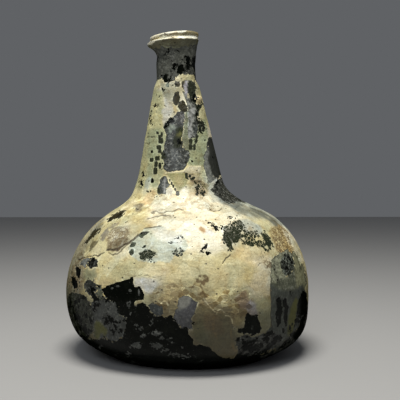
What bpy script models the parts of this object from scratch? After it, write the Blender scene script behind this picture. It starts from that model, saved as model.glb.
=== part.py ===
# Free-blown onion bottle of black glass: a squat round body drawn up into a long leaning neck,
# with a string rim laid on below a slanting lip, and a deep kick with its pontil scar underneath.
# Units are metres. +Z is up, and the origin is on the table, under the middle of the body.
# The left of the front view is -X, and the front is -Y.

import math

import bmesh
import bpy
from mathutils import Matrix, Vector

# Sizes of the outside, from the foot up.
FOOT_RADIUS = 0.0442  # middle of the ring that the bottle stands on
FOOT_WIDTH = 0.0050  # flat worn on that ring
HEEL_SLOPE = 25.0  # degrees above the level, where the glass leaves that flat
BODY_RADIUS = 0.0687
WIDEST_HEIGHT = 0.0350  # the widest part of the body, above the table
SHOULDER_RADIUS = 0.0415  # where the shoulder stops swelling and starts to draw up
SHOULDER_RISE = 0.0460  # from the widest part to there
SHOULDER_SLOPE = 27.0  # degrees above the level, at that place
NECK_ROOT_RADIUS = 0.0235  # where the straight taper of the neck starts
NECK_ROOT_RISE = 0.0205
NECK_TAPER_LENGTH = 0.0470
NECK_RADIUS = 0.0114  # of the straight part under the string rim
NECK_STEP = 0.0022  # how far the neck draws in from the taper to the straight part
NECK_STEP_LENGTH = 0.0080
NECK_TOP_LENGTH = 0.0130
STRING_RIM_OUT = 0.0034  # how far the string rim stands out from the neck
STRING_RIM_HEIGHT = 0.0068
GROOVE_DEPTH = 0.0012  # between the string rim's edge and the lip
LIP_OUT = 0.0028  # how far the lip stands out from the neck
LIP_HEIGHT = 0.0036
LIP_ROUND = 0.0008

# Glass thickness and the hollow inside.
NECK_WALL = 0.0026
SHOULDER_WALL = 0.0036
BODY_WALL = 0.0042
HEEL_WALL = 0.0065
KICK_WALL = 0.0070

# The underside.
KICK_HEIGHT = 0.0240
PONTIL_RADIUS = 0.0135
PONTIL_WIDTH = 0.0040
PONTIL_DEPTH = 0.0016  # how far the broken ring of glass stands down from the kick

# What the maker's hand left uneven. Lengths are sideways in the front view.
FOOT_OFFSET = 0.0020
SHOULDER_OFFSET = 0.0011
NECK_OFFSET = -0.0043
NECK_LEAN = -2.2  # degrees
LIP_SLANT = -6.5  # degrees, the lip's left side down
RIM_OVERHANG = 0.0012  # how much further the string rim sticks out on the left
RIM_WAVE = 0.0006
LAP_HEIGHT = 0.0007  # lump where the trail of the string rim ends on itself
LAP_ANGLE = 62.0  # degrees round the neck, at the back right
LAP_SPREAD = 16.0
OVALITY = 0.0004

SEGMENTS = 52
GLASS_COLOUR = (0.016, 0.020, 0.012, 1.0)


def slope(degrees):
    """Direction in the profile plane: 0 is straight out from the axis, 90 is straight up."""
    return Vector((math.cos(math.radians(degrees)), math.sin(math.radians(degrees))))


class Station:
    """A place on the outer profile, the direction there and the glass thickness behind it."""

    def __init__(self, radius, height, degrees, wall, before, after):
        self.point = Vector((radius, height))
        self.direction = slope(degrees)
        self.wall = wall
        self.before = before
        self.after = after

    def inner(self):
        """The same place on the inside of the glass."""
        inward = Vector((-self.direction.y, self.direction.x))
        return self.point + inward * self.wall


def bezier(start, start_way, end, end_way, reach_out, reach_in, steps):
    """Points of one cubic from start up to but without end. The reaches are shares of the chord."""
    chord = (end - start).length
    handle_a = start + start_way * reach_out * chord
    handle_b = end - end_way * reach_in * chord
    points = []
    for step in range(steps):
        t = step / steps
        u = 1 - t
        points.append(start * u**3 + handle_a * 3 * u * u * t + handle_b * 3 * u * t * t + end * t**3)
    return points


def outer_stations():
    """Heel, widest part, shoulder, neck root, end of the taper and the neck under the string rim."""
    shoulder_height = WIDEST_HEIGHT + SHOULDER_RISE
    root_height = shoulder_height + NECK_ROOT_RISE
    taper_top = root_height + NECK_TAPER_LENGTH
    taper_radius = NECK_RADIUS + NECK_STEP
    taper = 90 + math.degrees(math.atan2(NECK_ROOT_RADIUS - taper_radius, NECK_TAPER_LENGTH))
    shoulder_way = 180 - SHOULDER_SLOPE
    return [
        Station(FOOT_RADIUS + FOOT_WIDTH / 2, 0.0, HEEL_SLOPE, HEEL_WALL, 0.40, 0.42),
        Station(BODY_RADIUS, WIDEST_HEIGHT, 90, BODY_WALL, 0.58, 0.38),
        Station(SHOULDER_RADIUS, shoulder_height, shoulder_way, SHOULDER_WALL, 0.35, 0.42),
        Station(NECK_ROOT_RADIUS, root_height, taper, NECK_WALL, 0.45, 0.25),
        Station(taper_radius, taper_top, taper, NECK_WALL, 0.25, 0.50),
        Station(NECK_RADIUS, taper_top + NECK_STEP_LENGTH, 90, NECK_WALL, 0.50, 0.30),
    ]


def follow(stations, places, steps):
    """Runs cubics through the places, which are the stations' outer or inner points."""
    path = []
    for index, count in enumerate(steps):
        a, b = stations[index], stations[index + 1]
        path += bezier(places[index], a.direction, places[index + 1], b.direction, a.after, b.before, count)
    return path


def underside():
    """From the middle of the kick out to the foot's inner edge, with the pontil scar on the way."""
    foot_inner = Vector((FOOT_RADIUS - FOOT_WIDTH / 2, 0.0))
    dome = bezier(Vector((0.0, KICK_HEIGHT)), slope(0), foot_inner, slope(-62), 0.42, 0.30, 12)
    path = []
    for point in dome:
        across = abs(point.x - PONTIL_RADIUS) / (PONTIL_WIDTH / 2)
        if across >= 1:
            path.append(point)
    inside = [p for p in path if p.x < PONTIL_RADIUS]
    outside = [p for p in path if p.x > PONTIL_RADIUS]
    before, after = inside[-1], outside[0]
    scar = []
    for share, drop in ((-1.0, 0.0), (-0.4, 1.0), (0.3, 0.9), (1.0, 0.0)):
        radius = PONTIL_RADIUS + share * PONTIL_WIDTH / 2
        along = (radius - before.x) / (after.x - before.x)
        height = before.y + (after.y - before.y) * along
        scar.append(Vector((radius, height - drop * PONTIL_DEPTH)))
    return inside + scar + outside + [foot_inner]


def finish_profile(neck_top):
    """String rim and lip, from the neck up to the edge of the bore."""
    rim_radius = NECK_RADIUS + STRING_RIM_OUT
    lip_radius = NECK_RADIUS + LIP_OUT
    bore = NECK_RADIUS - NECK_WALL
    rim_edge = neck_top + STRING_RIM_HEIGHT
    groove = rim_edge + GROOVE_DEPTH / 2
    lip_top = rim_edge + LIP_HEIGHT
    return [
        Vector((NECK_RADIUS, neck_top)),
        Vector((NECK_RADIUS + 0.35 * STRING_RIM_OUT, neck_top + 0.30 * STRING_RIM_HEIGHT)),
        Vector((NECK_RADIUS + 0.80 * STRING_RIM_OUT, neck_top + 0.72 * STRING_RIM_HEIGHT)),
        Vector((rim_radius, rim_edge - 0.10 * STRING_RIM_HEIGHT)),
        Vector((rim_radius - GROOVE_DEPTH / 4, rim_edge)),
        Vector((lip_radius - GROOVE_DEPTH, groove)),
        Vector((lip_radius - LIP_ROUND / 2, groove + 0.35 * (lip_top - groove))),
        Vector((lip_radius, lip_top - LIP_ROUND)),
        Vector((lip_radius - LIP_ROUND, lip_top)),
        Vector((bore + LIP_ROUND, lip_top)),
        Vector((bore, lip_top - LIP_ROUND)),
    ]


def hollow(stations):
    """The inside, from the bore down to the top of the kick."""
    trough = Station(FOOT_RADIUS, HEEL_WALL, 0, 0.0, stations[0].before, stations[0].after)
    inside = [trough] + stations[1:]
    places = [station.inner() for station in inside]
    upward = follow(inside, places, (6, 8, 6, 2, 3)) + [places[-1]]
    crown = Vector((0.0, KICK_HEIGHT + KICK_WALL))
    floor = bezier(crown, slope(0), places[0], slope(0), 0.35, 0.22, 8)
    return upward[::-1] + floor[::-1]


def whole_profile():
    """One line from the middle of the kick, round the glass, back to the axis above the kick."""
    stations = outer_stations()
    outside = follow(stations, [s.point for s in stations], (9, 11, 8, 2, 3))
    outside.append(stations[-1].point)
    neck_top = stations[-1].point.y + NECK_TOP_LENGTH
    return underside() + outside + finish_profile(neck_top) + hollow(stations)


def smooth(value, low, high):
    """0 below low, 1 above high, and a soft step between."""
    t = min(1.0, max(0.0, (value - low) / (high - low)))
    return t * t * (3 - 2 * t)


def middle_shift(height):
    """How far sideways the middle of the bottle lies at a height."""
    shoulder = WIDEST_HEIGHT + SHOULDER_RISE
    root = shoulder + NECK_ROOT_RISE
    shift = FOOT_OFFSET * (1 - smooth(height, 0.0, WIDEST_HEIGHT))
    shift += SHOULDER_OFFSET * smooth(height, WIDEST_HEIGHT, shoulder)
    early = NECK_ROOT_RISE / 4
    shift += (NECK_OFFSET - SHOULDER_OFFSET) * smooth(height, shoulder - early, root - early)
    return shift + math.tan(math.radians(NECK_LEAN)) * max(0.0, height - root)


def hand_made(point, neck_top):
    """Moves a point of the true turned shape to where the blower's hand left it."""
    radius = math.hypot(point.x, point.y)
    angle = math.atan2(point.y, point.x)
    height = point.z
    rim_edge = neck_top + STRING_RIM_HEIGHT
    if radius > 0:
        stands_out = max(0.0, radius - NECK_RADIUS) / STRING_RIM_OUT
        on_rim = smooth(height, neck_top, rim_edge) * (1 - smooth(height, rim_edge, rim_edge + GROOVE_DEPTH / 2))
        away = abs(math.remainder(angle - math.radians(LAP_ANGLE), math.tau))
        lap = LAP_HEIGHT * smooth(math.radians(LAP_SPREAD) - away, 0.0, math.radians(LAP_SPREAD))
        grown = radius + stands_out * on_rim * (lap - RIM_OVERHANG * math.cos(angle))
        grown += OVALITY * math.cos(2 * angle) * smooth(radius, NECK_RADIUS, BODY_RADIUS)
        point = Vector((grown * math.cos(angle), grown * math.sin(angle), height))
        point.z += RIM_WAVE * stands_out * on_rim * math.sin(2 * angle + 0.6)
    scar = smooth(PONTIL_WIDTH - abs(radius - PONTIL_RADIUS), 0.0, PONTIL_WIDTH)
    if height < KICK_HEIGHT + KICK_WALL / 2 and scar > 0:
        point.z += scar * PONTIL_DEPTH * 0.3 * (math.sin(3 * angle) + 0.6 * math.sin(7 * angle + 1.0))
    slant = math.radians(LIP_SLANT) * smooth(height, neck_top - STRING_RIM_HEIGHT, neck_top + STRING_RIM_HEIGHT / 3)
    pivot = Vector((0.0, 0.0, neck_top + STRING_RIM_HEIGHT))
    point = Matrix.Rotation(slant, 4, "Y") @ (point - pivot) + pivot
    return point + Vector((middle_shift(height), 0.0, 0.0))


def glass_material():
    material = bpy.data.materials.new("black_glass")
    material.use_nodes = True
    shader = material.node_tree.nodes["Principled BSDF"]
    shader.inputs["Base Color"].default_value = GLASS_COLOUR
    shader.inputs["Roughness"].default_value = 0.25
    shader.inputs["Metallic"].default_value = 0.0
    return material


def blow_bottle():
    """Spins the profile into glass, then leans and bends it by hand."""
    mesh = bmesh.new()
    profile = whole_profile()
    points = [mesh.verts.new((p.x, 0.0, p.y)) for p in profile]
    edges = [mesh.edges.new(pair) for pair in zip(points, points[1:])]
    bmesh.ops.spin(
        mesh,
        geom=points + edges,
        cent=(0, 0, 0),
        axis=(0, 0, 1),
        angle=math.tau,
        steps=SEGMENTS,
        use_merge=True,
    )
    bmesh.ops.remove_doubles(mesh, verts=mesh.verts, dist=0.00001)
    neck_top = outer_stations()[-1].point.y + NECK_TOP_LENGTH
    for vertex in mesh.verts:
        vertex.co = hand_made(vertex.co.copy(), neck_top)
    bmesh.ops.recalc_face_normals(mesh, faces=mesh.faces)
    data = bpy.data.meshes.new("bottle")
    mesh.to_mesh(data)
    mesh.free()
    data.shade_smooth()
    data.set_sharp_from_angle(angle=math.radians(50))
    bottle = bpy.data.objects.new("bottle", data)
    bpy.context.scene.collection.objects.link(bottle)
    bottle.data.materials.append(glass_material())
    return bottle


def main():
    for old in list(bpy.data.objects):
        bpy.data.objects.remove(old)
    blow_bottle()


main()
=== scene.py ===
# Weathered onion bottle of black glass, free-blown and long buried.
# Metres, +Z up, front is -Y. This file is the look: the glass, the film and the crust that the
# ground left on it, the floor, the light and the view.
import math

import bpy
import numpy as np
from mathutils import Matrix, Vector


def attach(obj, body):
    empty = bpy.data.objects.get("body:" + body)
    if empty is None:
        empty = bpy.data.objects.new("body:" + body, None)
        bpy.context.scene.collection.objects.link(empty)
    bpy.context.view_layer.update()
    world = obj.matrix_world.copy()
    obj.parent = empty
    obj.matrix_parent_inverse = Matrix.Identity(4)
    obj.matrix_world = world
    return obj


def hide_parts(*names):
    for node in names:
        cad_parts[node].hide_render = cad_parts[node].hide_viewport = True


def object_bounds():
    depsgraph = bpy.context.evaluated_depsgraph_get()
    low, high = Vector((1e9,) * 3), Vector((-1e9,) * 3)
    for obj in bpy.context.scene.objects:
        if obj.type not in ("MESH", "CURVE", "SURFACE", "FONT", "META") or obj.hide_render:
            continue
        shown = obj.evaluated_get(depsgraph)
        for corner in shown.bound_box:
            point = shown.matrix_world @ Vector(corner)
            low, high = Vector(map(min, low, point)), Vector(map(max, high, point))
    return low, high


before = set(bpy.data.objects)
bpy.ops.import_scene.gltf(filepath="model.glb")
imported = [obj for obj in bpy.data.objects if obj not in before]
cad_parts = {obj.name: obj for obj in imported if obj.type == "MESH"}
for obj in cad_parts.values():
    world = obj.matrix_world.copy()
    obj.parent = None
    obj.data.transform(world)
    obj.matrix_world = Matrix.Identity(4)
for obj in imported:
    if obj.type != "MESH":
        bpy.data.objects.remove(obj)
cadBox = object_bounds()
scene = bpy.context.scene

# The view. Patches are laid out in its pixels, so it comes first.
view = {
    "distance": 0.419,
    "height": 0.0975,
    "downward": 1.57,  # degrees
    "sideways": 0.98,  # degrees to the right, which puts the bottle left of the middle
    "lens": 65.6,
    "sensor": 36.0,
    "pixels": 400,
}


def placeCamera():
    data = bpy.data.cameras.new("photo_view")
    data.lens = view["lens"]
    data.sensor_width = view["sensor"]
    data.clip_start = 0.01
    camera = bpy.data.objects.new("photo_view", data)
    camera.location = (0, -view["distance"], view["height"])
    camera.rotation_euler = (math.radians(90 - view["downward"]), 0, math.radians(-view["sideways"]))
    scene.collection.objects.link(camera)
    scene.camera = camera
    return camera


camera = placeCamera()
eye = np.array(camera.location)


def toPhoto(points):
    # where each point falls in the picture, in pixels from the top left
    toCamera = np.array(camera.matrix_basis.inverted())
    seen = points @ toCamera[:3, :3].T + toCamera[:3, 3]
    focal = view["lens"] / view["sensor"] * view["pixels"]
    across = view["pixels"] / 2 + focal * seen[:, 0] / -seen[:, 2]
    down = view["pixels"] / 2 - focal * seen[:, 1] / -seen[:, 2]
    return np.stack([across, down], axis=1)


# Small helpers for lengths, steps and noise.
def smooth(value, low, high):
    t = np.clip((value - low) / (high - low), 0.0, 1.0)
    return t * t * (3 - 2 * t)


def laid(base, over, share):
    # one value or colour laid over another, by its share at each point
    if base.ndim == 2 and share.ndim == 1:
        share = share[:, None]
    return base * (1 - share) + np.array(over) * share


def way(degrees):
    return np.array([math.cos(math.radians(degrees)), math.sin(math.radians(degrees))])


def bezier(start, startWay, end, endWay, reachOut, reachIn, count=48):
    chord = np.linalg.norm(end - start)
    handleA = start + startWay * reachOut * chord
    handleB = end - endWay * reachIn * chord
    t = np.linspace(0, 1, count, endpoint=False)[:, None]
    u = 1 - t
    return start * u**3 + handleA * 3 * u * u * t + handleB * 3 * u * t * t + end * t**3


def steadyRandom(cells, salt):
    # a number from 0 to 1 for each whole-number cell, the same at every run
    x, y, z = cells[..., 0], cells[..., 1], cells[..., 2]
    mixed = (x * 73856093) ^ (y * 19349663) ^ (z * 83492791) ^ (salt * 40503001)
    mixed = ((mixed & 0xFFFFFFFF) ^ ((mixed & 0xFFFFFFFF) >> 13)) * 1274126177
    mixed = (mixed & 0xFFFFFFFF) ^ ((mixed & 0xFFFFFFFF) >> 16)
    return (mixed & 0xFFFFFF) / 16777215.0


def noiseAt(points, size, octaves=3, salt=0):
    # soft noise of about -1 to 1, with lumps of about this size in metres
    total = np.zeros(len(points))
    strength = 1.0
    for octave in range(octaves):
        at = points / size * 2.0**octave + 17.0 + 3.7 * octave
        cell = np.floor(at).astype(np.int64)
        part = at - cell
        part = part * part * (3 - 2 * part)
        value = np.zeros(len(points))
        for corner in range(8):
            step = np.array([corner & 1, corner >> 1 & 1, corner >> 2])
            weight = np.where(step == 1, part, 1 - part).prod(1)
            value += weight * steadyRandom(cell + step, int(salt) + octave)
        total += strength * (value * 2 - 1)
        strength *= 0.55
    return total * 1.25


def wander(points, size, salt):
    # two noises at once, to push an outline about
    return np.stack([noiseAt(points, size, 2, salt), noiseAt(points, size, 2, salt + 50)], axis=1)


def cellOf(points, size, salt):
    # the middle of the crumb that each point belongs to
    at = points / size
    home = np.floor(at).astype(np.int64)
    best = np.full(len(points), 1e9)
    middle = np.zeros_like(points)
    for i in range(27):
        cell = home + np.array([i % 3 - 1, i // 3 % 3 - 1, i // 9 - 1])
        seed = cell + np.stack([steadyRandom(cell, salt + k) for k in (1, 2, 3)], axis=-1)
        far = ((seed - at) ** 2).sum(1)
        nearer = far < best
        best[nearer] = far[nearer]
        middle[nearer] = seed[nearer]
    return middle * size


# The vessel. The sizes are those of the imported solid.
vessel = {
    "footRadius": 0.0442,
    "footWidth": 0.0050,
    "heelSlope": 25.0,
    "bodyRadius": 0.0687,
    "widestHeight": 0.0350,
    "shoulderRadius": 0.0415,
    "shoulderRise": 0.0460,
    "shoulderSlope": 27.0,
    "neckRootRadius": 0.0235,
    "neckRootRise": 0.0205,
    "taperLength": 0.0470,
    "neckRadius": 0.0114,
    "neckStep": 0.0022,
    "neckStepLength": 0.0080,
    "neckTopLength": 0.0130,
    "rimOut": 0.0034,
    "rimHeight": 0.0068,
    "grooveDepth": 0.0012,
    "lipOut": 0.0028,
    "lipHeight": 0.0036,
    "lipRound": 0.0008,
    "neckWall": 0.0026,
    "shoulderWall": 0.0036,
    "bodyWall": 0.0042,
    "heelWall": 0.0065,
    "kickWall": 0.0070,
    "kickHeight": 0.0240,
    "pontilRadius": 0.0135,
    "pontilWidth": 0.0040,
    "pontilDepth": 0.0016,
    "segments": 112,
}

# What the blower's hand left uneven.
hand = {
    "footOffset": 0.0020,
    "shoulderOffset": 0.0011,
    "neckOffset": -0.0043,
    "neckLean": -2.2,
    "lipSlant": -6.5,
    "rimOverhang": 0.0012,
    "rimWave": 0.0006,
    "lapHeight": 0.0007,
    "lapAngle": 62.0,
    "lapSpread": 16.0,
    "ovality": 0.0004,
}

shoulderHeight = vessel["widestHeight"] + vessel["shoulderRise"]
rootHeight = shoulderHeight + vessel["neckRootRise"]
taperTop = rootHeight + vessel["taperLength"]
neckTop = taperTop + vessel["neckStepLength"] + vessel["neckTopLength"]
rimEdge = neckTop + vessel["rimHeight"]
lipTop = rimEdge + vessel["lipHeight"]
bore = vessel["neckRadius"] - vessel["neckWall"]


def stations():
    # radius, height, direction, wall, reach before, reach after
    v = vessel
    taperRadius = v["neckRadius"] + v["neckStep"]
    taper = 90 + math.degrees(math.atan2(v["neckRootRadius"] - taperRadius, v["taperLength"]))
    heel = v["footRadius"] + v["footWidth"] / 2
    return [
        (heel, 0.0, v["heelSlope"], v["heelWall"], 0.40, 0.42),
        (v["bodyRadius"], v["widestHeight"], 90, v["bodyWall"], 0.58, 0.38),
        (v["shoulderRadius"], shoulderHeight, 180 - v["shoulderSlope"], v["shoulderWall"], 0.35, 0.42),
        (v["neckRootRadius"], rootHeight, taper, v["neckWall"], 0.45, 0.25),
        (taperRadius, taperTop, taper, v["neckWall"], 0.25, 0.50),
        (v["neckRadius"], taperTop + v["neckStepLength"], 90, v["neckWall"], 0.50, 0.30),
    ]


def follow(places, ways, reaches):
    parts = []
    for i in range(len(places) - 1):
        parts.append(bezier(places[i], ways[i], places[i + 1], ways[i + 1], reaches[i][1], reaches[i + 1][0]))
    return np.concatenate(parts)


def roundOff(points, times=2):
    # cuts the corners of an open line, again and again
    for _ in range(times):
        near = points[:-1] * 0.75 + points[1:] * 0.25
        far = points[:-1] * 0.25 + points[1:] * 0.75
        points = np.concatenate([points[:1], np.stack([near, far], 1).reshape(-1, 2)[1:-1], points[-1:]])
    return points


# Spacing of the rows of points on each part of the line.
rowGap = {
    "kick": 0.0021,
    "foot": 0.0012,
    "outside": 0.0017,
    "neckTop": 0.0013,
    "finish": 0.00060,
    "bore": 0.0025,
    "hollow": 0.0085,
    "floor": 0.0085,
}


def profileParts():
    # the points of each part of the line, from the middle of the kick up to the lip and back inside
    v = vessel
    marks = stations()
    places = [np.array(m[:2]) for m in marks]
    ways = [way(m[2]) for m in marks]
    reaches = [m[4:] for m in marks]
    footInner = np.array([v["footRadius"] - v["footWidth"] / 2, 0.0])
    dome = bezier(np.array([0.0, v["kickHeight"]]), way(0), footInner, way(-62), 0.42, 0.30, 200)
    apart = np.abs(dome[:, 0] - v["pontilRadius"]) / (v["pontilWidth"] / 2)
    dome[:, 1] -= v["pontilDepth"] * np.clip(1 - apart**2, 0, 1) ** 0.7
    outside = np.concatenate([follow(places, ways, reaches), [places[-1]]])
    rimRadius = v["neckRadius"] + v["rimOut"]
    lipRadius = v["neckRadius"] + v["lipOut"]
    groove = rimEdge + v["grooveDepth"] / 2
    finish = np.array([
        (v["neckRadius"], neckTop),
        (v["neckRadius"] + 0.25 * v["rimOut"], neckTop + 0.42 * v["rimHeight"]),
        (v["neckRadius"] + 0.75 * v["rimOut"], neckTop + 0.76 * v["rimHeight"]),
        (rimRadius, rimEdge - 0.12 * v["rimHeight"]),
        (rimRadius - 0.0001, rimEdge),
        (lipRadius - v["grooveDepth"], groove),
        (lipRadius - v["lipRound"] / 2, groove + 0.35 * (lipTop - groove)),
        (lipRadius, lipTop - v["lipRound"]),
        (lipRadius - v["lipRound"] * 0.7, lipTop),
        (bore + v["lipRound"], lipTop),
        (bore, lipTop - v["lipRound"]),
    ])
    inward = [np.array([-w[1], w[0]]) for w in ways]
    inner = [p + n * m[3] for p, n, m in zip(places, inward, marks)]
    inner[0] = np.array([v["footRadius"], v["heelWall"]])
    innerWays = [way(0)] + ways[1:]
    crown = np.array([0.0, v["kickHeight"] + v["kickWall"]])
    return {
        "kick": np.concatenate([dome, [footInner]]),
        "foot": np.array([footInner, places[0]]),
        "outside": outside,
        "neckTop": np.array([places[-1], finish[0]]),
        "finish": roundOff(finish),
        "bore": np.array([finish[-1], inner[-1]]),
        "hollow": np.concatenate([follow(inner, innerWays, reaches), [inner[-1]]])[::-1],
        "floor": np.concatenate([bezier(crown, way(0), inner[0], way(0), 0.35, 0.22), [inner[0]]])[::-1],
    }


def wholeProfile():
    # the dense line with its length so far at each point, the rows' lengths, and where each part starts
    line, rows, starts = [], [0.0], {}
    length = 0.0
    for name, points in profileParts().items():
        steps = np.linalg.norm(np.diff(points, axis=0), axis=1)
        along = length + np.concatenate([[0.0], np.cumsum(steps)])
        starts[name] = length
        count = max(1, round((along[-1] - length) / rowGap[name]))
        rows += list(np.linspace(length, along[-1], count + 1)[1:])
        line.append(np.column_stack([along, points]))
        length = along[-1]
    line = np.concatenate(line)
    keep = np.concatenate([[True], np.diff(line[:, 0]) > 1e-9])
    return line[keep], np.array(rows), starts


profile, rowLengths, partStart = wholeProfile()
outsideEnd = partStart["bore"] + 1e-6


def onProfile(along):
    return np.interp(along, profile[:, 0], profile[:, 1]), np.interp(along, profile[:, 0], profile[:, 2])


# The lathe: a tree that spins a line of points round the Z axis.
def groupTree(name, sockets):
    tree = bpy.data.node_groups.new(name, "GeometryNodeTree")
    tree.interface.new_socket("Geometry", in_out="INPUT", socket_type="NodeSocketGeometry")
    ids = {}
    for label, (kind, value) in sockets.items():
        socket = tree.interface.new_socket(label, in_out="INPUT", socket_type=kind)
        if value is not None:
            socket.default_value = value
        ids[label] = socket.identifier
    tree.interface.new_socket("Geometry", in_out="OUTPUT", socket_type="NodeSocketGeometry")
    return tree, ids


def nodeAdder(tree):
    def add(kind, inputs=None, **settings):
        node = tree.nodes.new(kind)
        for name, value in settings.items():
            setattr(node, name, value)
        for socket, value in (inputs or {}).items():
            if isinstance(value, bpy.types.NodeSocket):
                tree.links.new(value, node.inputs[socket])
            else:
                node.inputs[socket].default_value = value
        return node

    return add


def mathAdder(add):
    def calc(operation, *values):
        return add("ShaderNodeMath", dict(enumerate(values)), operation=operation).outputs[0]

    return calc


def latheTree(material):
    tree, ids = groupTree("turn_on_lathe", {"Segments": ("NodeSocketInt", 160)})
    add = nodeAdder(tree)
    calc = mathAdder(add)
    given = add("NodeGroupInput").outputs
    segments, line = given["Segments"], given["Geometry"]
    rows = add("GeometryNodeAttributeDomainSize", {"Geometry": line}).outputs["Point Count"]
    columns = calc("ADD", segments, 1.0)
    size = {"Size X": 1.0, "Size Y": 1.0, "Vertices X": columns, "Vertices Y": rows}
    grid = add("GeometryNodeMeshGrid", size).outputs["Mesh"]
    position = add("GeometryNodeInputPosition").outputs[0]
    place = add("ShaderNodeSeparateXYZ", {0: position})
    turn = calc("MULTIPLY", calc("ADD", place.outputs["X"], 0.5), math.tau)
    row = calc("MULTIPLY", calc("ADD", place.outputs["Y"], 0.5), calc("SUBTRACT", rows, 1.0))
    row = calc("ROUND", row)
    wanted = {"Geometry": line, "Value": position, "Index": row}
    sample = add("GeometryNodeSampleIndex", wanted, data_type="FLOAT_VECTOR")
    point = add("ShaderNodeSeparateXYZ", {0: sample.outputs[0]})
    spun = add("ShaderNodeCombineXYZ", {
        "X": calc("MULTIPLY", point.outputs["X"], calc("COSINE", turn)),
        "Y": calc("MULTIPLY", point.outputs["X"], calc("SINE", turn)),
        "Z": point.outputs["Z"],
    }).outputs[0]
    steps = (
        ("StoreNamedAttribute", {"Name": "row", "Value": row}, {"data_type": "FLOAT", "domain": "POINT"}),
        ("SetPosition", {"Position": spun}, {}),
        ("MergeByDistance", {"Distance": 0.000001}, {}),
        ("RealizeInstances", {}, {}),
        ("SetMaterial", {"Material": material}, {}),
    )
    made = grid
    for kind, inputs, settings in steps:
        made = add("GeometryNode" + kind, {"Geometry": made, **inputs}, **settings).outputs[0]
    tree.links.new(made, add("NodeGroupOutput").inputs[0])
    return tree, ids


def applied(maker, name):
    # the evaluated object as a plain mesh, without its modifiers
    bpy.context.view_layer.update()
    graph = bpy.context.evaluated_depsgraph_get()
    mesh = bpy.data.meshes.new_from_object(maker.evaluated_get(graph))
    mesh.name = name
    bpy.data.objects.remove(maker)
    return mesh


def spinVessel(material):
    radii, heights = onProfile(rowLengths)
    radii[0] = radii[-1] = 0.0
    line = bpy.data.meshes.new("bottle_line")
    points = [(r, 0.0, z) for r, z in zip(radii, heights)]
    line.from_pydata(points, [(i, i + 1) for i in range(len(points) - 1)], [])
    maker = bpy.data.objects.new("bottle_line", line)
    scene.collection.objects.link(maker)
    tree, ids = latheTree(material)
    lathe = maker.modifiers.new("lathe", "NODES")
    lathe.node_group = tree
    lathe[ids["Segments"]] = vessel["segments"]
    mesh = applied(maker, "spun")
    mesh.calc_loop_triangles()
    count = len(mesh.vertices)
    places = np.zeros(count * 3)
    mesh.vertices.foreach_get("co", places)
    rowOf = np.zeros(count)
    mesh.attributes["row"].data.foreach_get("value", rowOf)
    faces = np.array([t.vertices for t in mesh.loop_triangles], dtype=np.int64)
    bpy.data.meshes.remove(mesh)
    along = np.interp(rowOf, np.arange(len(rowLengths)), rowLengths)
    return {"points": places.reshape(-1, 3), "along": along, "faces": faces}


# Finer triangles where they are wanted: lengths in metres, and bands in pixels.
grain = {
    "front": 0.0018,
    "back": 0.0044,
    "kick": 0.0045,
    "edge": 0.00105,
    "crack": 0.75,  # times the edge's
    "backEdge": 0.7,  # times the back's
    "band": 0.9,
    "tone": 0.0010,
    "toneBand": 1.0,
    "toneInside": 2.2,
    "crispTone": 1.5,
    "stroke": 0.00062,
    "strokeBand": 0.7,
    "turnedAway": -0.04,
}


def edgesOf(faces, count):
    pairs = np.concatenate([faces[:, [0, 1]], faces[:, [1, 2]], faces[:, [2, 0]]])
    pairs.sort(axis=1)
    keys, back = np.unique(pairs[:, 0] * count + pairs[:, 1], return_inverse=True)
    return np.stack([keys // count, keys % count], 1), back.reshape(3, -1).T


def splitLong(shape, limitOf):
    # halves every edge longer than its limit, longest edges first, and returns whether any was
    points, along, faces = shape["points"], shape["along"], shape["faces"]
    count = len(points)
    edges, ofFace = edgesOf(faces, count)
    lengths = np.linalg.norm(points[edges[:, 0]] - points[edges[:, 1]], axis=1)
    marked = lengths > limitOf(edges)
    if not marked.any():
        return False
    longest = ofFace[np.arange(len(faces)), lengths[ofFace].argmax(1)]
    while True:
        forced = longest[marked[ofFace].any(1)]
        before = marked.sum()
        marked[forced] = True
        if marked.sum() == before:
            break
    middle = np.full(len(edges), -1)
    middle[marked] = count + np.arange(marked.sum())
    a, b = edges[marked].T
    newAlong = (along[a] + along[b]) / 2
    radius, height = onProfile(newAlong)
    flat = points[a, :2] + points[b, :2]
    flat /= np.maximum(np.linalg.norm(flat, axis=1), 1e-12)[:, None]
    shape["points"] = np.concatenate([points, np.column_stack([flat * radius[:, None], height])])
    shape["along"] = np.concatenate([along, newAlong])
    mids = middle[ofFace]
    corner = faces.copy()
    # turned so that an edge with a middle comes first, and one without comes last
    for _ in range(2):
        turn = (mids[:, 0] < 0) | ((mids[:, 2] >= 0) & (mids[:, 1] < 0))
        turn &= (mids >= 0).any(1)
        corner[turn] = corner[turn][:, [1, 2, 0]]
        mids[turn] = mids[turn][:, [1, 2, 0]]
    many = (mids >= 0).sum(1)
    parts = [corner[many == 0]]
    c, m = corner[many == 1], mids[many == 1]
    parts += [np.stack([c[:, 0], m[:, 0], c[:, 2]], 1), np.stack([m[:, 0], c[:, 1], c[:, 2]], 1)]
    c, m = corner[many == 2], mids[many == 2]
    parts += [
        np.stack([m[:, 0], c[:, 1], m[:, 1]], 1),
        np.stack([c[:, 0], m[:, 0], m[:, 1]], 1),
        np.stack([c[:, 0], m[:, 1], c[:, 2]], 1),
    ]
    c, m = corner[many == 3], mids[many == 3]
    parts += [
        np.stack([c[:, 0], m[:, 0], m[:, 2]], 1),
        np.stack([m[:, 0], c[:, 1], m[:, 1]], 1),
        np.stack([m[:, 2], m[:, 1], c[:, 2]], 1),
        np.stack([m[:, 0], m[:, 1], m[:, 2]], 1),
    ]
    shape["faces"] = np.concatenate(parts)
    return True


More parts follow.
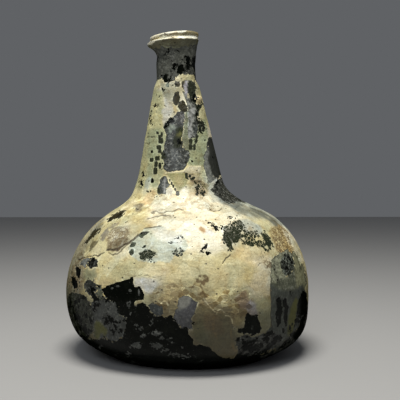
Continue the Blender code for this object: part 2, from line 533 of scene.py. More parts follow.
def byHand(points):
    # moves the turned shape to where the blower left it
    h = hand
    x, y, z = points.T
    radius = np.hypot(x, y)
    angle = np.arctan2(y, x)
    standsOut = np.maximum(0.0, radius - vessel["neckRadius"]) / vessel["rimOut"]
    onRim = smooth(z, neckTop, rimEdge) * (1 - smooth(z, rimEdge, rimEdge + vessel["grooveDepth"] / 2))
    away = np.abs(np.remainder(angle - math.radians(h["lapAngle"]) + math.pi, math.tau) - math.pi)
    lap = h["lapHeight"] * smooth(math.radians(h["lapSpread"]) - away, 0.0, math.radians(h["lapSpread"]))
    grown = radius + standsOut * onRim * (lap - h["rimOverhang"] * np.cos(angle))
    grown += h["ovality"] * np.cos(2 * angle) * smooth(radius, vessel["neckRadius"], vessel["bodyRadius"])
    low = z.copy()
    z = z + h["rimWave"] * standsOut * onRim * np.sin(2 * angle + 0.6)
    scar = smooth(vessel["pontilWidth"] - np.abs(radius - vessel["pontilRadius"]), 0.0, vessel["pontilWidth"])
    scar *= low < vessel["kickHeight"] + vessel["kickWall"] / 2
    z = z + scar * vessel["pontilDepth"] * 0.3 * (np.sin(3 * angle) + 0.6 * np.sin(7 * angle + 1.0))
    rim = vessel["rimHeight"]
    slant = math.radians(h["lipSlant"]) * smooth(low, neckTop - rim, neckTop + rim / 3)
    x, y, up = grown * np.cos(angle), grown * np.sin(angle), z - rimEdge
    x, z = x * np.cos(slant) + up * np.sin(slant), rimEdge - x * np.sin(slant) + up * np.cos(slant)
    shift = h["footOffset"] * (1 - smooth(low, 0.0, vessel["widestHeight"]))
    shift += h["shoulderOffset"] * smooth(low, vessel["widestHeight"], shoulderHeight)
    early = vessel["neckRootRise"] / 4
    shift += (h["neckOffset"] - h["shoulderOffset"]) * smooth(low, shoulderHeight - early, rootHeight - early)
    shift += math.tan(math.radians(h["neckLean"])) * np.maximum(0.0, low - rootHeight)
    return np.stack([x + shift, y, z], axis=1)


def normalsOf(points, faces):
    a, b, c = points[faces[:, 0]], points[faces[:, 1]], points[faces[:, 2]]
    across = np.cross(b - a, c - a)
    normals = np.zeros_like(points)
    for i in range(3):
        for k in range(3):
            normals[:, k] += np.bincount(faces[:, i], across[:, k], minlength=len(points))
    return normals / np.maximum(np.linalg.norm(normals, axis=1), 1e-20)[:, None]


# Colours, as linear values.
colours = {
    "cream": (0.545, 0.495, 0.282),
    "pale": (0.78, 0.73, 0.56),
    "white": (0.66, 0.64, 0.56),
    "mint": (0.455, 0.490, 0.395),
    "lilacWhite": (0.50, 0.50, 0.47),
    "khakiCream": (0.43, 0.41, 0.22),
    "ochreKhaki": (0.285, 0.272, 0.122),
    "greenKhaki": (0.29, 0.32, 0.19),
    "olive": (0.24, 0.24, 0.14),
    "ochre": (0.44, 0.34, 0.15),
    "orange": (0.66, 0.50, 0.27),
    "rust": (0.34, 0.19, 0.06),
    "khaki": (0.24, 0.20, 0.095),
    "brown": (0.30, 0.25, 0.135),
    "pinkBrown": (0.28, 0.19, 0.12),
    "umber": (0.085, 0.065, 0.03),
    "greyBrown": (0.195, 0.175, 0.135),
    "tealPale": (0.34, 0.38, 0.32),
    "lilac": (0.36, 0.33, 0.36),
    "smoke": (0.36, 0.37, 0.30),
    "slate": (0.075, 0.083, 0.072),
    "stainPale": (0.40, 0.375, 0.285),
    "moss": (0.145, 0.150, 0.062),
    "rustDark": (0.20, 0.125, 0.052),
    "hazeGrey": (0.215, 0.220, 0.175),
    "beadCream": (0.62, 0.53, 0.32),
    "panelOlive": (0.26, 0.26, 0.15),
    "hazeGreen": (0.44, 0.46, 0.39),
    "lipGrey": (0.74, 0.73, 0.60),
    "edgeGrey": (0.165, 0.155, 0.12),
    # ridge: a painted highlight colour for raised edges and ridges.
    "ridge": (0.62, 0.57, 0.38),
    "burnt": (0.135, 0.088, 0.032),
    "grooveBrown": (0.27, 0.22, 0.10),
    # rimOlive: olive darkened as painted shade under the rim.
    "rimOlive": (0.090, 0.088, 0.050),
    "filmOlive": (0.086, 0.090, 0.076),
    "filmTeal": (0.20, 0.235, 0.19),
    "filmSteel": (0.072, 0.080, 0.078),
    "filmMarble": (0.33, 0.34, 0.325),
    "filmOval": (0.120, 0.140, 0.110),
    "filmCell": (0.022, 0.026, 0.013),
    "toothCream": (0.56, 0.53, 0.38),
    # litEdge: a painted highlight colour for the lip and the rim.
    "litEdge": (0.98, 0.94, 0.78),
    # Pale chalky crust, also used for a painted highlight on the neck.
    "neckChalk": (0.47, 0.465, 0.405),
    "collar": (0.26, 0.245, 0.150),
    "cornerCream": (0.40, 0.355, 0.235),
    "ridgeGreen": (0.150, 0.165, 0.100),
    "filmGreen": (0.070, 0.078, 0.064),
    "filmMoss": (0.135, 0.145, 0.095),
    "filmGrey": (0.078, 0.083, 0.076),
    "filmBlue": (0.056, 0.064, 0.062),
    "filmSlate": (0.028, 0.030, 0.025),
    "filmLilac": (0.100, 0.101, 0.106),
    "filmWedge": (0.24, 0.24, 0.21),
    "filmSpot": (0.056, 0.072, 0.042),
    "filmDeep": (0.018, 0.022, 0.010),
    "filmPanel": (0.29, 0.30, 0.20),
    "filmLilacPale": (0.40, 0.39, 0.42),
    "filmPale": (0.20, 0.21, 0.19),
    "filmUmber": (0.028, 0.024, 0.011),
    "filmKhaki": (0.130, 0.130, 0.040),
}

# Where the crust is off and the bare black glass shows: outlines in the view's pixels.
glassPatches = {
    "lowerLeftSheet": [
        (100.6, 289.2), (108.2, 285.2), (117.1, 282.3), (132.8, 276.7), (133.7, 287), (139.5, 287),
        (143.9, 293.2), (143, 300.4), (135.9, 300.6), (135.9, 304.8), (142.1, 302.1), (147.5, 305.7),
        (150.2, 311.1), (154.6, 315.5), (161.8, 314.6), (166.3, 317.3), (172.5, 315.5), (177.9, 322.7),
        (180.5, 328), (187.7, 328.5), (188.6, 334.3), (193, 339.6), (193.9, 345.9), (201.4, 343.4),
        (210.4, 348.8), (215.7, 354.1), (223.8, 358.6), (233.6, 358.6), (237, 354.5), (244.3, 356.8),
        (251.4, 356.8), (259, 352.5), (264, 366), (230, 378), (160, 379), (112, 369), (88, 352), (76, 335),
        (86, 336), (94, 340.5), (104.6, 338.5), (112, 341), (124.3, 337.9), (124.3, 330.7), (126, 323.6),
        (126, 317.3), (117.1, 312.9), (117.1, 308.4), (113.6, 301.3), (105.5, 296.8),
    ],
    "edgeStreakA": [(74.6, 267.6), (77, 266), (80.4, 271), (79, 280), (76.6, 277)],
    "edgeStreakB": [(71, 277), (73.4, 275.6), (76.6, 282), (77, 288), (73.6, 288.6), (71.5, 284)],
    "rightTriangle": [
        (237, 329), (244.3, 327.3), (245.6, 318.4), (248.3, 313), (251.4, 315.7), (256.8, 315.3),
        (259.5, 321), (262, 330), (255.9, 336.3), (249.6, 333.6), (243.4, 333.6), (239, 333.9),
    ],
    "rightStreakA": [
        (276.6, 300), (279.8, 296), (282.3, 303), (283, 312), (281, 323), (278, 328), (275.8, 319),
        (277.2, 309),
    ],
    "rightStreakB": [
        (283.2, 300), (286.2, 297.5), (288.6, 308), (288, 319), (286, 328), (284.2, 319), (284.2, 309),
    ],
    "rightLens": [
        (303.6, 290.5), (307, 293), (308.5, 303), (305.5, 313), (300.6, 318), (297.4, 316.5), (298.2, 305),
        (300.6, 296),
    ],
    "neckTopBlack": [
        (184.8, 64), (186, 58), (187.5, 56), (190, 58), (192, 62), (191.5, 68), (188, 69.6), (185.3, 67.5),
    ],
    "neckTopEdge": [(193.4, 58), (196.5, 57), (198, 67), (195.5, 76), (194, 70), (193, 64)],
    "neckTopMiddle": [
        (176.9, 66), (179.5, 63.6), (183, 65.5), (183.9, 70.5), (182, 74), (178.5, 74), (176.8, 71),
    ],
    "neckTopLeft": [(161, 75.4), (165, 74.6), (168.7, 77.5), (168, 82), (164.5, 83), (162.6, 79.3)],
    "bandLeft": [
        (163, 126), (167, 121), (169.5, 118), (173.5, 118.3), (173, 121.5), (168, 123.6), (165, 128.5),
    ],
    "nickHigh": [(200.5, 249.2), (205, 246), (209.5, 245.1), (208.2, 247.8), (203, 249.8)],
    "nickLow": [(204, 250.8), (208.5, 251.6), (211.6, 254.2), (208, 255.4)],
}

# Single square cells on the neck where the crust is off: left, top, right and bottom, in pixels.
squareCells = [
    (155.6, 131.6, 158.4, 134.6), (157.6, 135, 160.2, 139.6), (160.2, 132.2, 162.6, 137.6),
    (158, 138.6, 162.6, 143.6), (156.2, 145.2, 161, 149.2), (157.6, 149.4, 161.2, 152.8),
    (150.2, 150.4, 153, 153.4), (149.4, 157.8, 153.2, 161.8), (154.8, 156, 159.4, 160.6),
    (160.6, 152.2, 164.8, 155.2), (161.2, 156, 166.2, 159), (153.8, 161.8, 157.6, 167.4),
    (153.4, 168, 157.2, 174.6), (158.2, 162.6, 161, 168.6), (150.6, 178.6, 153.6, 182.6),
    (157, 187, 160.4, 193), (198, 120.6, 201, 124.4), (201.6, 121, 204.4, 126), (198.8, 125.4, 201.6, 129),
    (202.4, 127, 205, 131.6), (199, 129.8, 201.8, 132.4), (195.6, 135.6, 198.2, 139.4),
    (194.4, 140, 197.4, 143.2), (189.4, 138.8, 192.8, 143.6), (189, 144.4, 192.6, 149.8),
    (193.2, 144.6, 196, 150.4), (204.8, 139, 206.4, 140.8), (185.2, 173, 188.2, 178.6),
    (189, 174.4, 191.6, 177.2), (192.4, 176.4, 195.2, 178.8), (169.2, 178.6, 170.8, 181.6),
    (170.8, 181.4, 172.6, 184.8), (172.4, 184.6, 174.4, 188), (174, 187.8, 176, 191.2),
    (175.6, 191, 179.4, 195.4),
]

# Where the crust broke off in clean straight edges, with few crumbs.
calmEdges = {
    "sheetTop": [
        (96, 292), (98, 284), (118, 276), (136, 272), (150, 290), (148, 303), (140, 306), (134, 298),
        (126, 288), (112, 291),
    ],
    "panelSide": [(266, 262), (276, 262), (277, 330), (266, 334)],
    "wedgeTop": [
        (174, 308), (176, 294), (190, 292), (202, 302), (206, 300), (238, 316), (232, 326), (196, 332),
        (192, 318), (180, 302),
    ],
    "edgeStreaks": [(64, 262), (82, 262), (84, 292), (66, 298)],
    "streaks": [(273, 290), (292, 290), (293, 330), (284, 338), (272, 332)],
    "lens": [(294, 284), (311, 284), (312, 308), (304, 322), (294, 322)],
    "mintSpots": [(126, 228), (152, 226), (154, 247), (136, 258), (126, 256)],
    "ovals": [(171, 90), (181, 89), (190, 111), (184, 114), (172, 106)],
    "neckPlates": [(158, 176), (184, 160), (206, 160), (204, 176), (190, 190), (176, 198), (164, 182)],
    "neckLeft": [(147, 128), (167, 128), (168, 152), (164, 174), (162, 196), (147, 186)],
    "neckClumps": [(187, 118), (209, 118), (209, 144), (200, 152), (186, 152)],
    "neckHoles": [(163, 80), (182, 79), (182, 90), (163, 90)],
    "plateFoot": [
        (186, 330), (198, 342), (224, 356), (240, 352), (234, 320), (240, 330), (238, 366), (216, 364),
        (186, 352),
    ],
    "rightTriangle": [(236, 320), (250, 308), (266, 326), (262, 334), (256, 326), (250, 318)],
}

# Small round and long holes: across, down, half width and half height, in pixels.
glassSpots = [
    (172.1, 74.4, 1.5, 1.6), (173.3, 69.2, 1.6, 1.5), (174.4, 79, 1.4, 1.3), (185.7, 56.3, 1.3, 0.9),
    (161.5, 88.1, 1.3, 0.9), (164.1, 90.1, 0.9, 1.2), (160.1, 96.2, 1.8, 0.7), (156.8, 105.9, 1.9, 0.9),
    (151.4, 113.6, 0.9, 2.2), (150.6, 121.5, 1.0, 3.4), (151.4, 151.2, 1.5, 1.5), (143.8, 174.2, 1.0, 2.6),
    (152.1, 180.3, 1.6, 2.4), (140.7, 183.3, 0.8, 2.0), (148.0, 190.0, 0.8, 0.8), (197.4, 111.5, 0.9, 4.2),
    (205.6, 140.0, 1.0, 1.0), (192.5, 161.5, 1.2, 1.0), (193.8, 99.8, 1.2, 3.6), (210.4, 224.4, 1.8, 1.1),
    (215.7, 227.5, 1.9, 2.0), (222.4, 227.5, 1.5, 1.4), (231.8, 216.8, 2.0, 0.9), (151.0, 260.8, 1.3, 1.0),
    (178.0, 237.6, 1.2, 0.8), (182.5, 237.4, 1.4, 0.8), (170.8, 243.0, 1.4, 0.9), (239.8, 339.2, 1.6, 1.8),
    (283.6, 331.0, 1.2, 3.0), (290.3, 328.2, 1.1, 3.0), (297.5, 321.0, 2.4, 3.2), (291.0, 334.5, 1.0, 3.4),
    (268.5, 343.5, 2.2, 1.8), (258.5, 346.5, 2.6, 1.4), (280.0, 338.0, 1.6, 2.6), (106.0, 318.0, 3.0, 2.2),
    (118.5, 321.0, 2.0, 1.6), (120.0, 331.0, 2.4, 2.8), (136.5, 209.0, 1.3, 0.9),
]

# Flakes of crust and film that stayed on the bare glass, given in the same way.
flakes = [
    (111.8, 288.0, 1.6, 1.1), (117.3, 286.3, 2.4, 1.0), (129.6, 291.0, 1.9, 1.5), (138.8, 292.5, 1.2, 2.8),
    (128.8, 306.3, 0.9, 1.9), (131.0, 314.2, 1.5, 1.6), (150.2, 322.7, 1.4, 2.0), (135.4, 325.8, 1.3, 1.0),
    (139.4, 328.6, 1.9, 1.0), (157.5, 333.0, 4.2, 1.9), (161.0, 337.0, 2.4, 1.6), (144.6, 336.0, 2.8, 2.0),
    (136.6, 346.5, 4.6, 2.8), (157.0, 346.0, 6.0, 2.4), (164.5, 349.3, 3.6, 1.4), (171.0, 339.6, 1.5, 1.2),
    (171.6, 343.5, 1.8, 0.8), (173.6, 355.2, 4.0, 1.4), (186.5, 356.0, 4.6, 1.5), (128.2, 352.8, 2.0, 1.0),
    (131.4, 363.8, 3.2, 0.9), (100.2, 346.8, 1.4, 1.1), (183.0, 347.5, 1.8, 0.9), (127.0, 357.5, 1.6, 0.8),
    (97.0, 293.8, 1.0, 2.0), (103.0, 298.5, 3.2, 1.2),
]

# Where the crust is off down to a thin satin film: its colour, the share of holes in it, how hazed
# it is with pale flecks, and the outline.
filmPatches = {
    "neckTop": ("filmOlive", 0.30, 0.55, [
        (140, 50), (155, 48), (170, 47), (180, 46), (210, 44), (210, 80), (197, 80.5), (194, 76),
        (187.6, 75), (180.2, 73.8), (176.7, 75.5), (174, 79.5), (171, 81.8), (164.7, 81.3), (161.2, 78),
        (155.5, 82.4), (146, 83),
    ]),
    "neckMarble": ("filmPale", 0.10, 1.0, [
        (182.5, 90), (185.5, 92), (188.6, 97), (193, 97.5), (196, 103), (197, 112), (198.2, 120),
        (197.4, 130), (195, 138), (189.4, 138.6), (188.4, 130), (189.4, 120), (189, 110), (187, 102),
    ]),
    "marbleBlue": ("filmBlue", 0.16, 0.9, [
        (193, 122), (197.4, 120), (198, 130), (196.6, 137), (193.4, 133), (192.6, 127),
    ]),
    "marbleStreak": ("filmMarble", 0.0, 0.6, [
        (191.4, 108), (193.6, 107), (194.6, 112), (193.4, 118), (191.8, 126), (193.4, 132), (192.4, 138),
        (188.6, 137.6), (188.2, 131), (189.4, 122), (190.4, 112),
    ]),
    "holeHigh": ("filmUmber", 0.05, 0.0, [
        (174.2, 84), (176, 81.3), (179.4, 80.9), (180.8, 84), (179, 87.2), (175.6, 87.2),
    ]),
    "holeTeal": ("filmTeal", 0.05, 0.4, [
        (165.4, 84.5), (167.4, 82.3), (169.8, 84), (168.8, 86.9), (166.2, 87),
    ]),
    # Dark film round the bead, with a painted shadow under it.
    "beadShade": ("filmDeep", 0.08, 0.2, [
        (189.6, 95), (194, 95.4), (194.4, 101), (197, 104.6), (201, 104.2), (202.8, 101.8), (203.6, 105),
        (200, 108.4), (198, 122), (196.6, 121.6), (196, 108), (193, 103),
    ]),
    "neckOval": ("filmDeep", 0.10, 0.35, [
        (189.3, 81), (192, 79.8), (194.8, 82), (195.3, 89), (194.4, 95.6), (191, 97), (188.8, 92.5),
        (188.3, 86),
    ]),
    "ovalLilac": ("filmLilacPale", 0.0, 0.5, [
        (185, 84), (186.4, 80.5), (188.8, 81), (189, 92), (187.2, 96), (185.2, 92),
    ]),
    "ovalSide": ("filmUmber", 0.1, 0.1, [(182, 82), (184.6, 79.5), (185.6, 84), (185.2, 90.5), (182.6, 90)]),
    "brownOval": ("filmUmber", 0.20, 0.0, [
        (173.1, 98), (174.5, 92.3), (178.5, 91.2), (180, 97), (178.7, 103.9), (175, 105.5), (173.2, 102),
    ]),
    "brownWedge": ("filmUmber", 0.3, 0.35, [
        (177.5, 107), (180.5, 101), (184, 99.2), (186.2, 104), (188.5, 111.8), (182, 112.5),
    ]),
    "neckBand": ("filmBlue", 0.16, 0.9, [
        (162.8, 126), (164.5, 121.5), (169, 118.4), (174, 117), (177, 112.4), (181, 110.8), (185, 113),
        (185.2, 119), (183.3, 125), (183, 135), (183.2, 148.4), (188.8, 150.6), (189.6, 158.9),
        (187.3, 164.5), (184.3, 169.6), (176.6, 171.2), (166.4, 171.6), (162.8, 169.6), (164, 163),
        (161.4, 158), (163, 150), (165.2, 141), (165.6, 132),
    ]),
    "bandShield": ("filmLilac", 0.10, 1.0, [
        (177.4, 113), (181, 111.4), (184.8, 113.6), (184.6, 120), (182, 124.4), (178, 122), (176.4, 117),
    ]),
    "bandTeal": ("filmTeal", 0.04, 0.7, [
        (167.2, 126), (170, 123.4), (175.2, 123.2), (175.6, 126), (172.4, 128.8), (170, 133.4),
        (167.6, 131),
    ]),
    "bandLow": ("filmSteel", 0.14, 1.0, [
        (163.8, 151), (172, 149.6), (183, 149.8), (188.6, 151.2), (189.2, 159), (186.8, 164.5),
        (184, 168.8), (176.6, 169.6), (167, 170.6), (164.6, 160),
    ]),
    "bandHollow": ("filmDeep", 0.34, 0.1, [
        (174.4, 127.4), (178, 125.8), (182.8, 127), (183, 138), (182.4, 148.4), (176.4, 149), (172, 147.6),
        (171.8, 141.6), (174.6, 136),
    ]),
    "bandIsland": ("filmKhaki", 0.0, 0.2, [
        (176.6, 133.2), (180, 132), (182.6, 133.4), (181, 136.8), (177.4, 136.6),
    ]),
    "notch": ("filmSteel", 0.16, 0.9, [
        (160.2, 178.6), (163.4, 176), (166.4, 176.4), (168.2, 181), (170.6, 185.6), (168.5, 186.4),
        (166.2, 188.7), (164.8, 194), (156.7, 193.4), (158.3, 185.4),
    ]),
    # A painted highlight: a pale line down the notch.
    "notchLine": ("filmMarble", 0.0, 0.2, [(164.0, 178.4), (165.7, 178.4), (165.9, 193), (164.2, 193)]),
    "neckSide": ("filmSlate", 0.12, 0.1, [
        (209, 137), (218, 136), (232, 160), (236, 184), (224.5, 174.8), (217.2, 178.8), (210, 175.5),
        (206.4, 163.5), (206.5, 149.7),
    ]),
    "neckSideHaze": ("filmPale", 0.0, 0.5, [
        (204, 152), (208, 146), (209, 160), (212, 175), (217.2, 179.2), (209, 182), (204.5, 170),
    ]),
    "neckFoot": ("filmSlate", 0.16, 0.9, [
        (210.3, 189.8), (219, 180.5), (225.5, 176), (238, 184), (262, 203), (246, 203), (236, 201.5),
        (228, 202), (219.5, 197),
    ]),
    "sliverHigh": ("filmUmber", 0.35, 0.1, [
        (106.2, 222.6), (108.5, 217.8), (116, 212.8), (123.2, 209.6), (126.4, 210.4), (122, 215.2),
        (114, 219.8), (109.5, 222.8),
    ]),
    "sliverLow": ("filmUmber", 0.35, 0.1, [
        (84.8, 243.4), (87, 237), (92.4, 231), (97.3, 227.2), (100, 228.2), (95.6, 234.4), (90.6, 239.8),
        (87.4, 243.6),
    ]),
    "cornerBrownC": ("filmUmber", 0.15, 0.4, [
        (196.0, 186), (199.2, 185.2), (199.3, 191), (197.4, 195.6), (195.7, 191),
    ]),
    "cornerBrownD": ("filmUmber", 0.1, 0.3, [(201.6, 191), (205.0, 189.8), (205.6, 194.9), (203, 196.5)]),
    "panelHigh": ("filmMoss", 0.12, 0.7, [
        (271.6, 280), (279, 276), (285, 279), (292, 272), (296, 262), (299, 268), (301, 282), (303, 290),
        (296, 297), (284, 292), (271.6, 288),
    ]),
    "panelSide": ("panelOlive", 0.16, 0.5, [
        (293, 250), (298, 254), (304, 268), (307.4, 284), (304, 291), (298, 292), (296, 276), (294, 262),
    ]),
    "panelTop": ("filmPanel", 0.10, 0.7, [
        (271.4, 284), (271.6, 262), (274, 257), (280, 252), (288, 248), (294, 254), (292, 262), (288, 276),
        (282, 281),
    ]),
    "rightOval": ("filmOval", 0.30, 1.0, [
        (281.2, 256), (285, 252.5), (289.5, 254.5), (293, 261), (293.6, 268.5), (290.3, 274.5),
        (286.5, 276.4), (281.8, 272), (280.2, 263),
    ]),
    "panelLow": ("filmGreen", 0.10, 0.25, [
        (271.6, 284), (284, 290), (296, 290), (303, 284), (306, 292), (305, 312), (298, 328), (289, 338),
        (278, 347), (266, 345), (261, 338), (266, 333), (271.8, 327), (271.3, 300),
    ]),
    "panelKhaki": ("filmKhaki", 0.04, 0.0, [
        (288.2, 336), (288, 322), (290, 312), (293, 303), (296.5, 297), (298.2, 300), (297, 311),
        (295.6, 322), (293, 333),
    ]),
    "lowRight": ("filmSlate", 0.52, 0.5, [
        (237, 338), (246, 334.5), (256, 338), (264, 334), (272, 330), (283, 340), (275, 350), (258.6, 356),
        (251.4, 357.5), (244.3, 357.8), (237, 355),
    ]),
    "rightFoot": ("filmSlate", 0.58, 0.4, [
        (306, 308), (316, 300), (316, 330), (300, 352), (270, 368), (244, 368), (244, 357), (258, 356),
        (275, 350), (289, 338), (298, 328),
    ]),
    "wedge": ("filmLilac", 0.02, 0.3, [
        (177.9, 298.6), (185, 295.9), (192, 298.6), (197.5, 303), (194, 314.6), (191.5, 318), (192.5, 329),
        (187.7, 328.5), (180.5, 327), (175, 318), (176, 311), (178.8, 305.7),
    ]),
    "wedgeTop": ("filmWedge", 0.0, 0.3, [
        (178, 298.6), (185, 295.9), (191, 298.3), (190, 304), (184, 309), (178, 310), (176, 308),
        (178.8, 304),
    ]),
    "teal": ("filmBlue", 0.10, 0.4, [
        (147.5, 304.5), (152, 303), (161.8, 305.5), (163.5, 314), (154.6, 315.5), (150.2, 311.1),
    ]),
    "leftStrip": ("filmDeep", 0.46, 0.45, [
        (68, 296), (71, 292), (78, 294), (86, 297), (92, 306), (94, 318), (94, 330), (88, 339), (78, 338),
        (70, 324), (66.5, 308),
    ]),
    "leftJoin": ("filmMoss", 0.30, 0.5, [
        (97, 284), (102.5, 284.5), (101.5, 289.4), (104, 295.6), (107, 298), (104.6, 303), (99.5, 303),
        (97.5, 296),
    ]),
    "leftRound": ("filmSlate", 0.50, 0.45, [
        (83.2, 283.7), (87.4, 280.4), (94.8, 278.7), (97.3, 284.6), (95.7, 291.2), (98, 296), (99.5, 302),
        (96, 303), (91.5, 296.2), (86.5, 293.7), (83.6, 288.7),
    ]),
    "leftUpper": ("filmSlate", 0.40, 0.6, [
        (88.5, 263), (91, 257.2), (95, 257), (97.5, 260.5), (98.3, 266), (93.2, 267.1), (89, 268.6),
        (86, 266.5),
    ]),
    "greenSpotHigh": ("filmSpot", 0.30, 0.9, [
        (138.5, 234), (142, 231.5), (147, 230.8), (149.7, 231.3), (146.5, 234.5), (141, 237.6), (139, 236),
    ]),
    "greenSpotLeft": ("filmSpot", 0.30, 0.9, [
        (129, 246), (132, 242.5), (135.5, 242), (136.3, 244.5), (133, 246.9), (129.5, 247.2),
    ]),
    "greenSpotSmall": ("filmSpot", 0.30, 0.9, [
        (141.1, 247.4), (143.8, 244.8), (147.2, 243.9), (146.3, 246), (143, 248.2),
    ]),
    "greenSpotLow": ("filmSpot", 0.30, 0.9, [
        (128.2, 252.5), (130.5, 248.6), (133.8, 249), (134, 252.3), (131.5, 255.4), (129.2, 254.2),
    ]),
    "leftFilm": ("filmGrey", 0.30, 0.4, [
        (90.5, 301), (99.5, 300), (105.5, 296.8), (113.6, 301.3), (117.1, 308.4), (117.1, 312.9),
        (126, 317.3), (126, 323.6), (124.3, 330.7), (124.3, 337.9), (112, 341), (104.6, 338.5), (94, 338),
        (92, 318),
    ]),
    "leftKhaki": ("filmKhaki", 0.08, 0.2, [
        (94.5, 338), (93.5, 326), (96, 320), (102, 322), (106.3, 330), (104.5, 338), (101, 333.5),
        (98.5, 339),
    ]),
    "leftGrey": ("filmPale", 0.25, 0.7, [(79.5, 264.7), (82.4, 258.4), (91, 256.8), (88, 263.5), (85, 267)]),
}

# Nets of small black cells: how dense, and the outline.
nets = {
    "shoulder": (0.88, [
        (222, 236), (224.6, 226.5), (230.9, 222), (238, 217.5), (244.3, 220), (248, 227), (252, 230),
        (257, 233.5), (261, 232.5), (262, 229.5), (265.5, 231), (269, 236), (273.5, 244.6), (271.5, 251.5),
        (263, 249), (256, 246), (250, 246), (243, 243.5), (239, 243), (234.6, 245.6), (231.8, 251.7),
        (227, 250.8), (227.5, 244.6), (222.6, 240.5),
    ]),
    "shoulderHeart": (0.98, [
        (221.6, 238.6), (224, 231), (230, 226.5), (236, 226.5), (241, 231), (243, 236), (239, 242),
        (234, 243.5), (231.6, 251.2), (227.6, 250.4), (228, 244), (224, 241.5),
    ]),
    "shoulderEnd": (1.0, [
        (262.6, 233), (265.5, 232.6), (269, 238), (272.6, 244.6), (270.6, 249), (266, 246), (263.5, 240),
    ]),
    "shoulderLow": (0.97, [
        (240, 236), (245, 238), (250, 242), (256, 242), (264, 245), (262, 248.5), (255, 245.5), (249, 246),
        (243, 243), (239, 241),
    ]),
    "right": (0.80, [
        (281, 256), (285, 251.5), (290, 252.5), (294.5, 260), (295.3, 268), (291.5, 275), (286.5, 278.4),
        (281, 275.5), (278.8, 264),
    ]),
    "belowOval": (0.5, [(279, 274), (288, 276), (296, 272), (298, 280), (288, 282), (280, 279)]),
    "ochre": (0.22, [(280, 234), (284, 230), (292, 244), (293, 252), (284, 252), (281, 245)]),
    "leftEdge": (0.62, [
        (64, 300), (66, 283), (72, 266), (79, 262), (82, 272), (82, 290), (76, 292), (72, 300),
    ]),
    "leftUpper": (0.80, [(87, 262), (92, 256), (97, 259), (99, 267), (92, 269), (87, 267.5)]),
    "lowRight": (0.42, [
        (240, 346), (252, 340), (264, 338), (276, 336), (288, 330), (296, 322), (300, 330), (284, 345),
        (262, 356), (246, 357),
    ]),
    "lowLens": (0.7, [(286, 330), (292, 322), (298, 314), (305, 306), (306, 312), (298, 326), (288, 336)]),
    "neckRight": (0.78, [(196, 119), (201, 117), (206, 120), (207, 131), (203, 135), (197.6, 133)]),
    "neckRightLow": (0.45, [(188, 138), (193, 136), (199, 134), (198, 150), (192, 153), (188, 148)]),
    "neckBandLow": (0.62, [(159, 150), (167, 149), (168, 160), (163, 172), (157, 170), (160, 158)]),
    "neckBandHigh": (0.35, [(162, 128), (166, 119), (172, 118), (176, 124), (170, 134), (164, 142)]),
    "neckCorner": (0.74, [
        (184.6, 173), (190, 174.4), (197, 176), (203, 181), (206, 189), (203, 198), (197, 195), (192, 183),
        (186, 180),
    ]),
    "neckTopRight": (0.4, [(178, 60), (184, 55), (192, 52), (197, 60), (196, 78), (186, 75), (178, 74)]),
    "neckTopLow": (0.62, [
        (159, 74), (166, 72), (174, 76), (181, 80), (180, 88), (172, 86), (164, 85), (159, 81),
    ]),
    "neckEdge": (0.34, [(196, 84), (200, 90), (208, 122), (203, 122), (198, 108), (195, 96)]),
    "greenClump": (0.95, [
        (137, 254), (141, 250), (147, 248.5), (155.5, 249.7), (157, 254), (153, 258), (150, 261),
        (144.5, 261), (140, 258.6),
    ]),
    "ring": (0.86, [
        (173, 251.5), (176, 248), (182, 246.8), (187, 250.2), (186.6, 254.2), (181.5, 257.4), (175, 257.4),
        (172.5, 254.2),
    ]),
    "ringHigh": (0.40, [(170, 240), (176, 236), (184, 236), (187, 240), (184, 244), (174, 245)]),
    "byNet": (0.50, [(206, 222), (214, 222), (226, 222), (226, 232), (216, 232), (207, 228)]),
    "aboveNet": (0.45, [
        (228, 216), (236, 212), (250, 222), (262, 228), (256, 234), (246, 226), (238, 220), (230, 222),
    ]),
    "underNet": (0.55, [(199, 250), (204, 244), (212, 244), (213, 256), (207, 257), (201, 254)]),
    "greenField": (0.30, [(139, 250), (150, 246), (156, 251), (153, 261), (142, 262), (136, 256)]),
}

# Webs of brown seams in the crust: how strong, and the outline.
webs = {
    "ochreNet": (1.0, [
        (271, 232), (274, 226), (281, 226), (289, 236), (294, 248), (293, 256), (284, 254), (276, 251),
        (273, 243),
    ]),
    "lipGrain": (0.8, [
        (148, 39), (154, 36), (162, 35), (173, 34), (173, 35.6), (162, 37.4), (154, 40), (148, 42),
    ]),
    "blotch": (1.0, [(262, 261), (268, 259), (272, 260), (271.4, 269), (266.5, 268.5), (263, 265)]),
    "neckCorner": (0.45, [
        (188, 176), (197, 178), (204, 182), (207, 192), (203, 199), (196, 196), (193, 184),
    ]),
    "greyStain": (0.7, [
        (106, 236), (112, 229), (120, 226), (129, 227), (129.5, 236.5), (126.3, 243.9), (118, 248.9),
        (109.8, 250.1), (106, 246),
    ]),
    "neckFoot": (0.6, [(133, 211), (136, 205), (144, 202.5), (146, 208), (141, 212.5)]),
    "footRight": (0.7, [(204, 208), (206, 203), (213, 203), (215, 208), (210, 211)]),
    "leftEdge": (0.6, [(66, 284), (72, 266), (80, 252), (86, 258), (84, 272), (84, 284), (76, 292)]),
}

# Where the crust has broken into small flakes that stand at many heights.
chipped = {
    "middle": (1.0, [
        (150, 291), (162, 284), (178, 281), (196, 283), (214, 290), (232, 288), (247, 289), (253, 300),
        (250, 316), (236, 319), (216, 312), (203, 305), (196, 303), (178, 300), (175, 316), (163, 316),
        (153, 305),
    ]),
    "shoulder": (0.4, [(120, 200), (160, 190), (205, 188), (215, 205), (190, 214), (150, 220), (118, 226)]),
    "greyStain": (0.7, webs["greyStain"][1]),
    "ochreNet": (0.7, [
        (268, 232), (274, 226), (281, 226), (289, 236), (294, 248), (293, 256), (284, 254), (276, 251),
        (272, 243),
    ]),
    "left": (0.6, [(62, 300), (66, 272), (80, 246), (90, 250), (86, 262), (84, 282), (76, 292)]),
    "neckCorner": (0.7, [(186, 178), (208, 178), (210, 186), (206, 198), (196, 198), (188, 184)]),
}
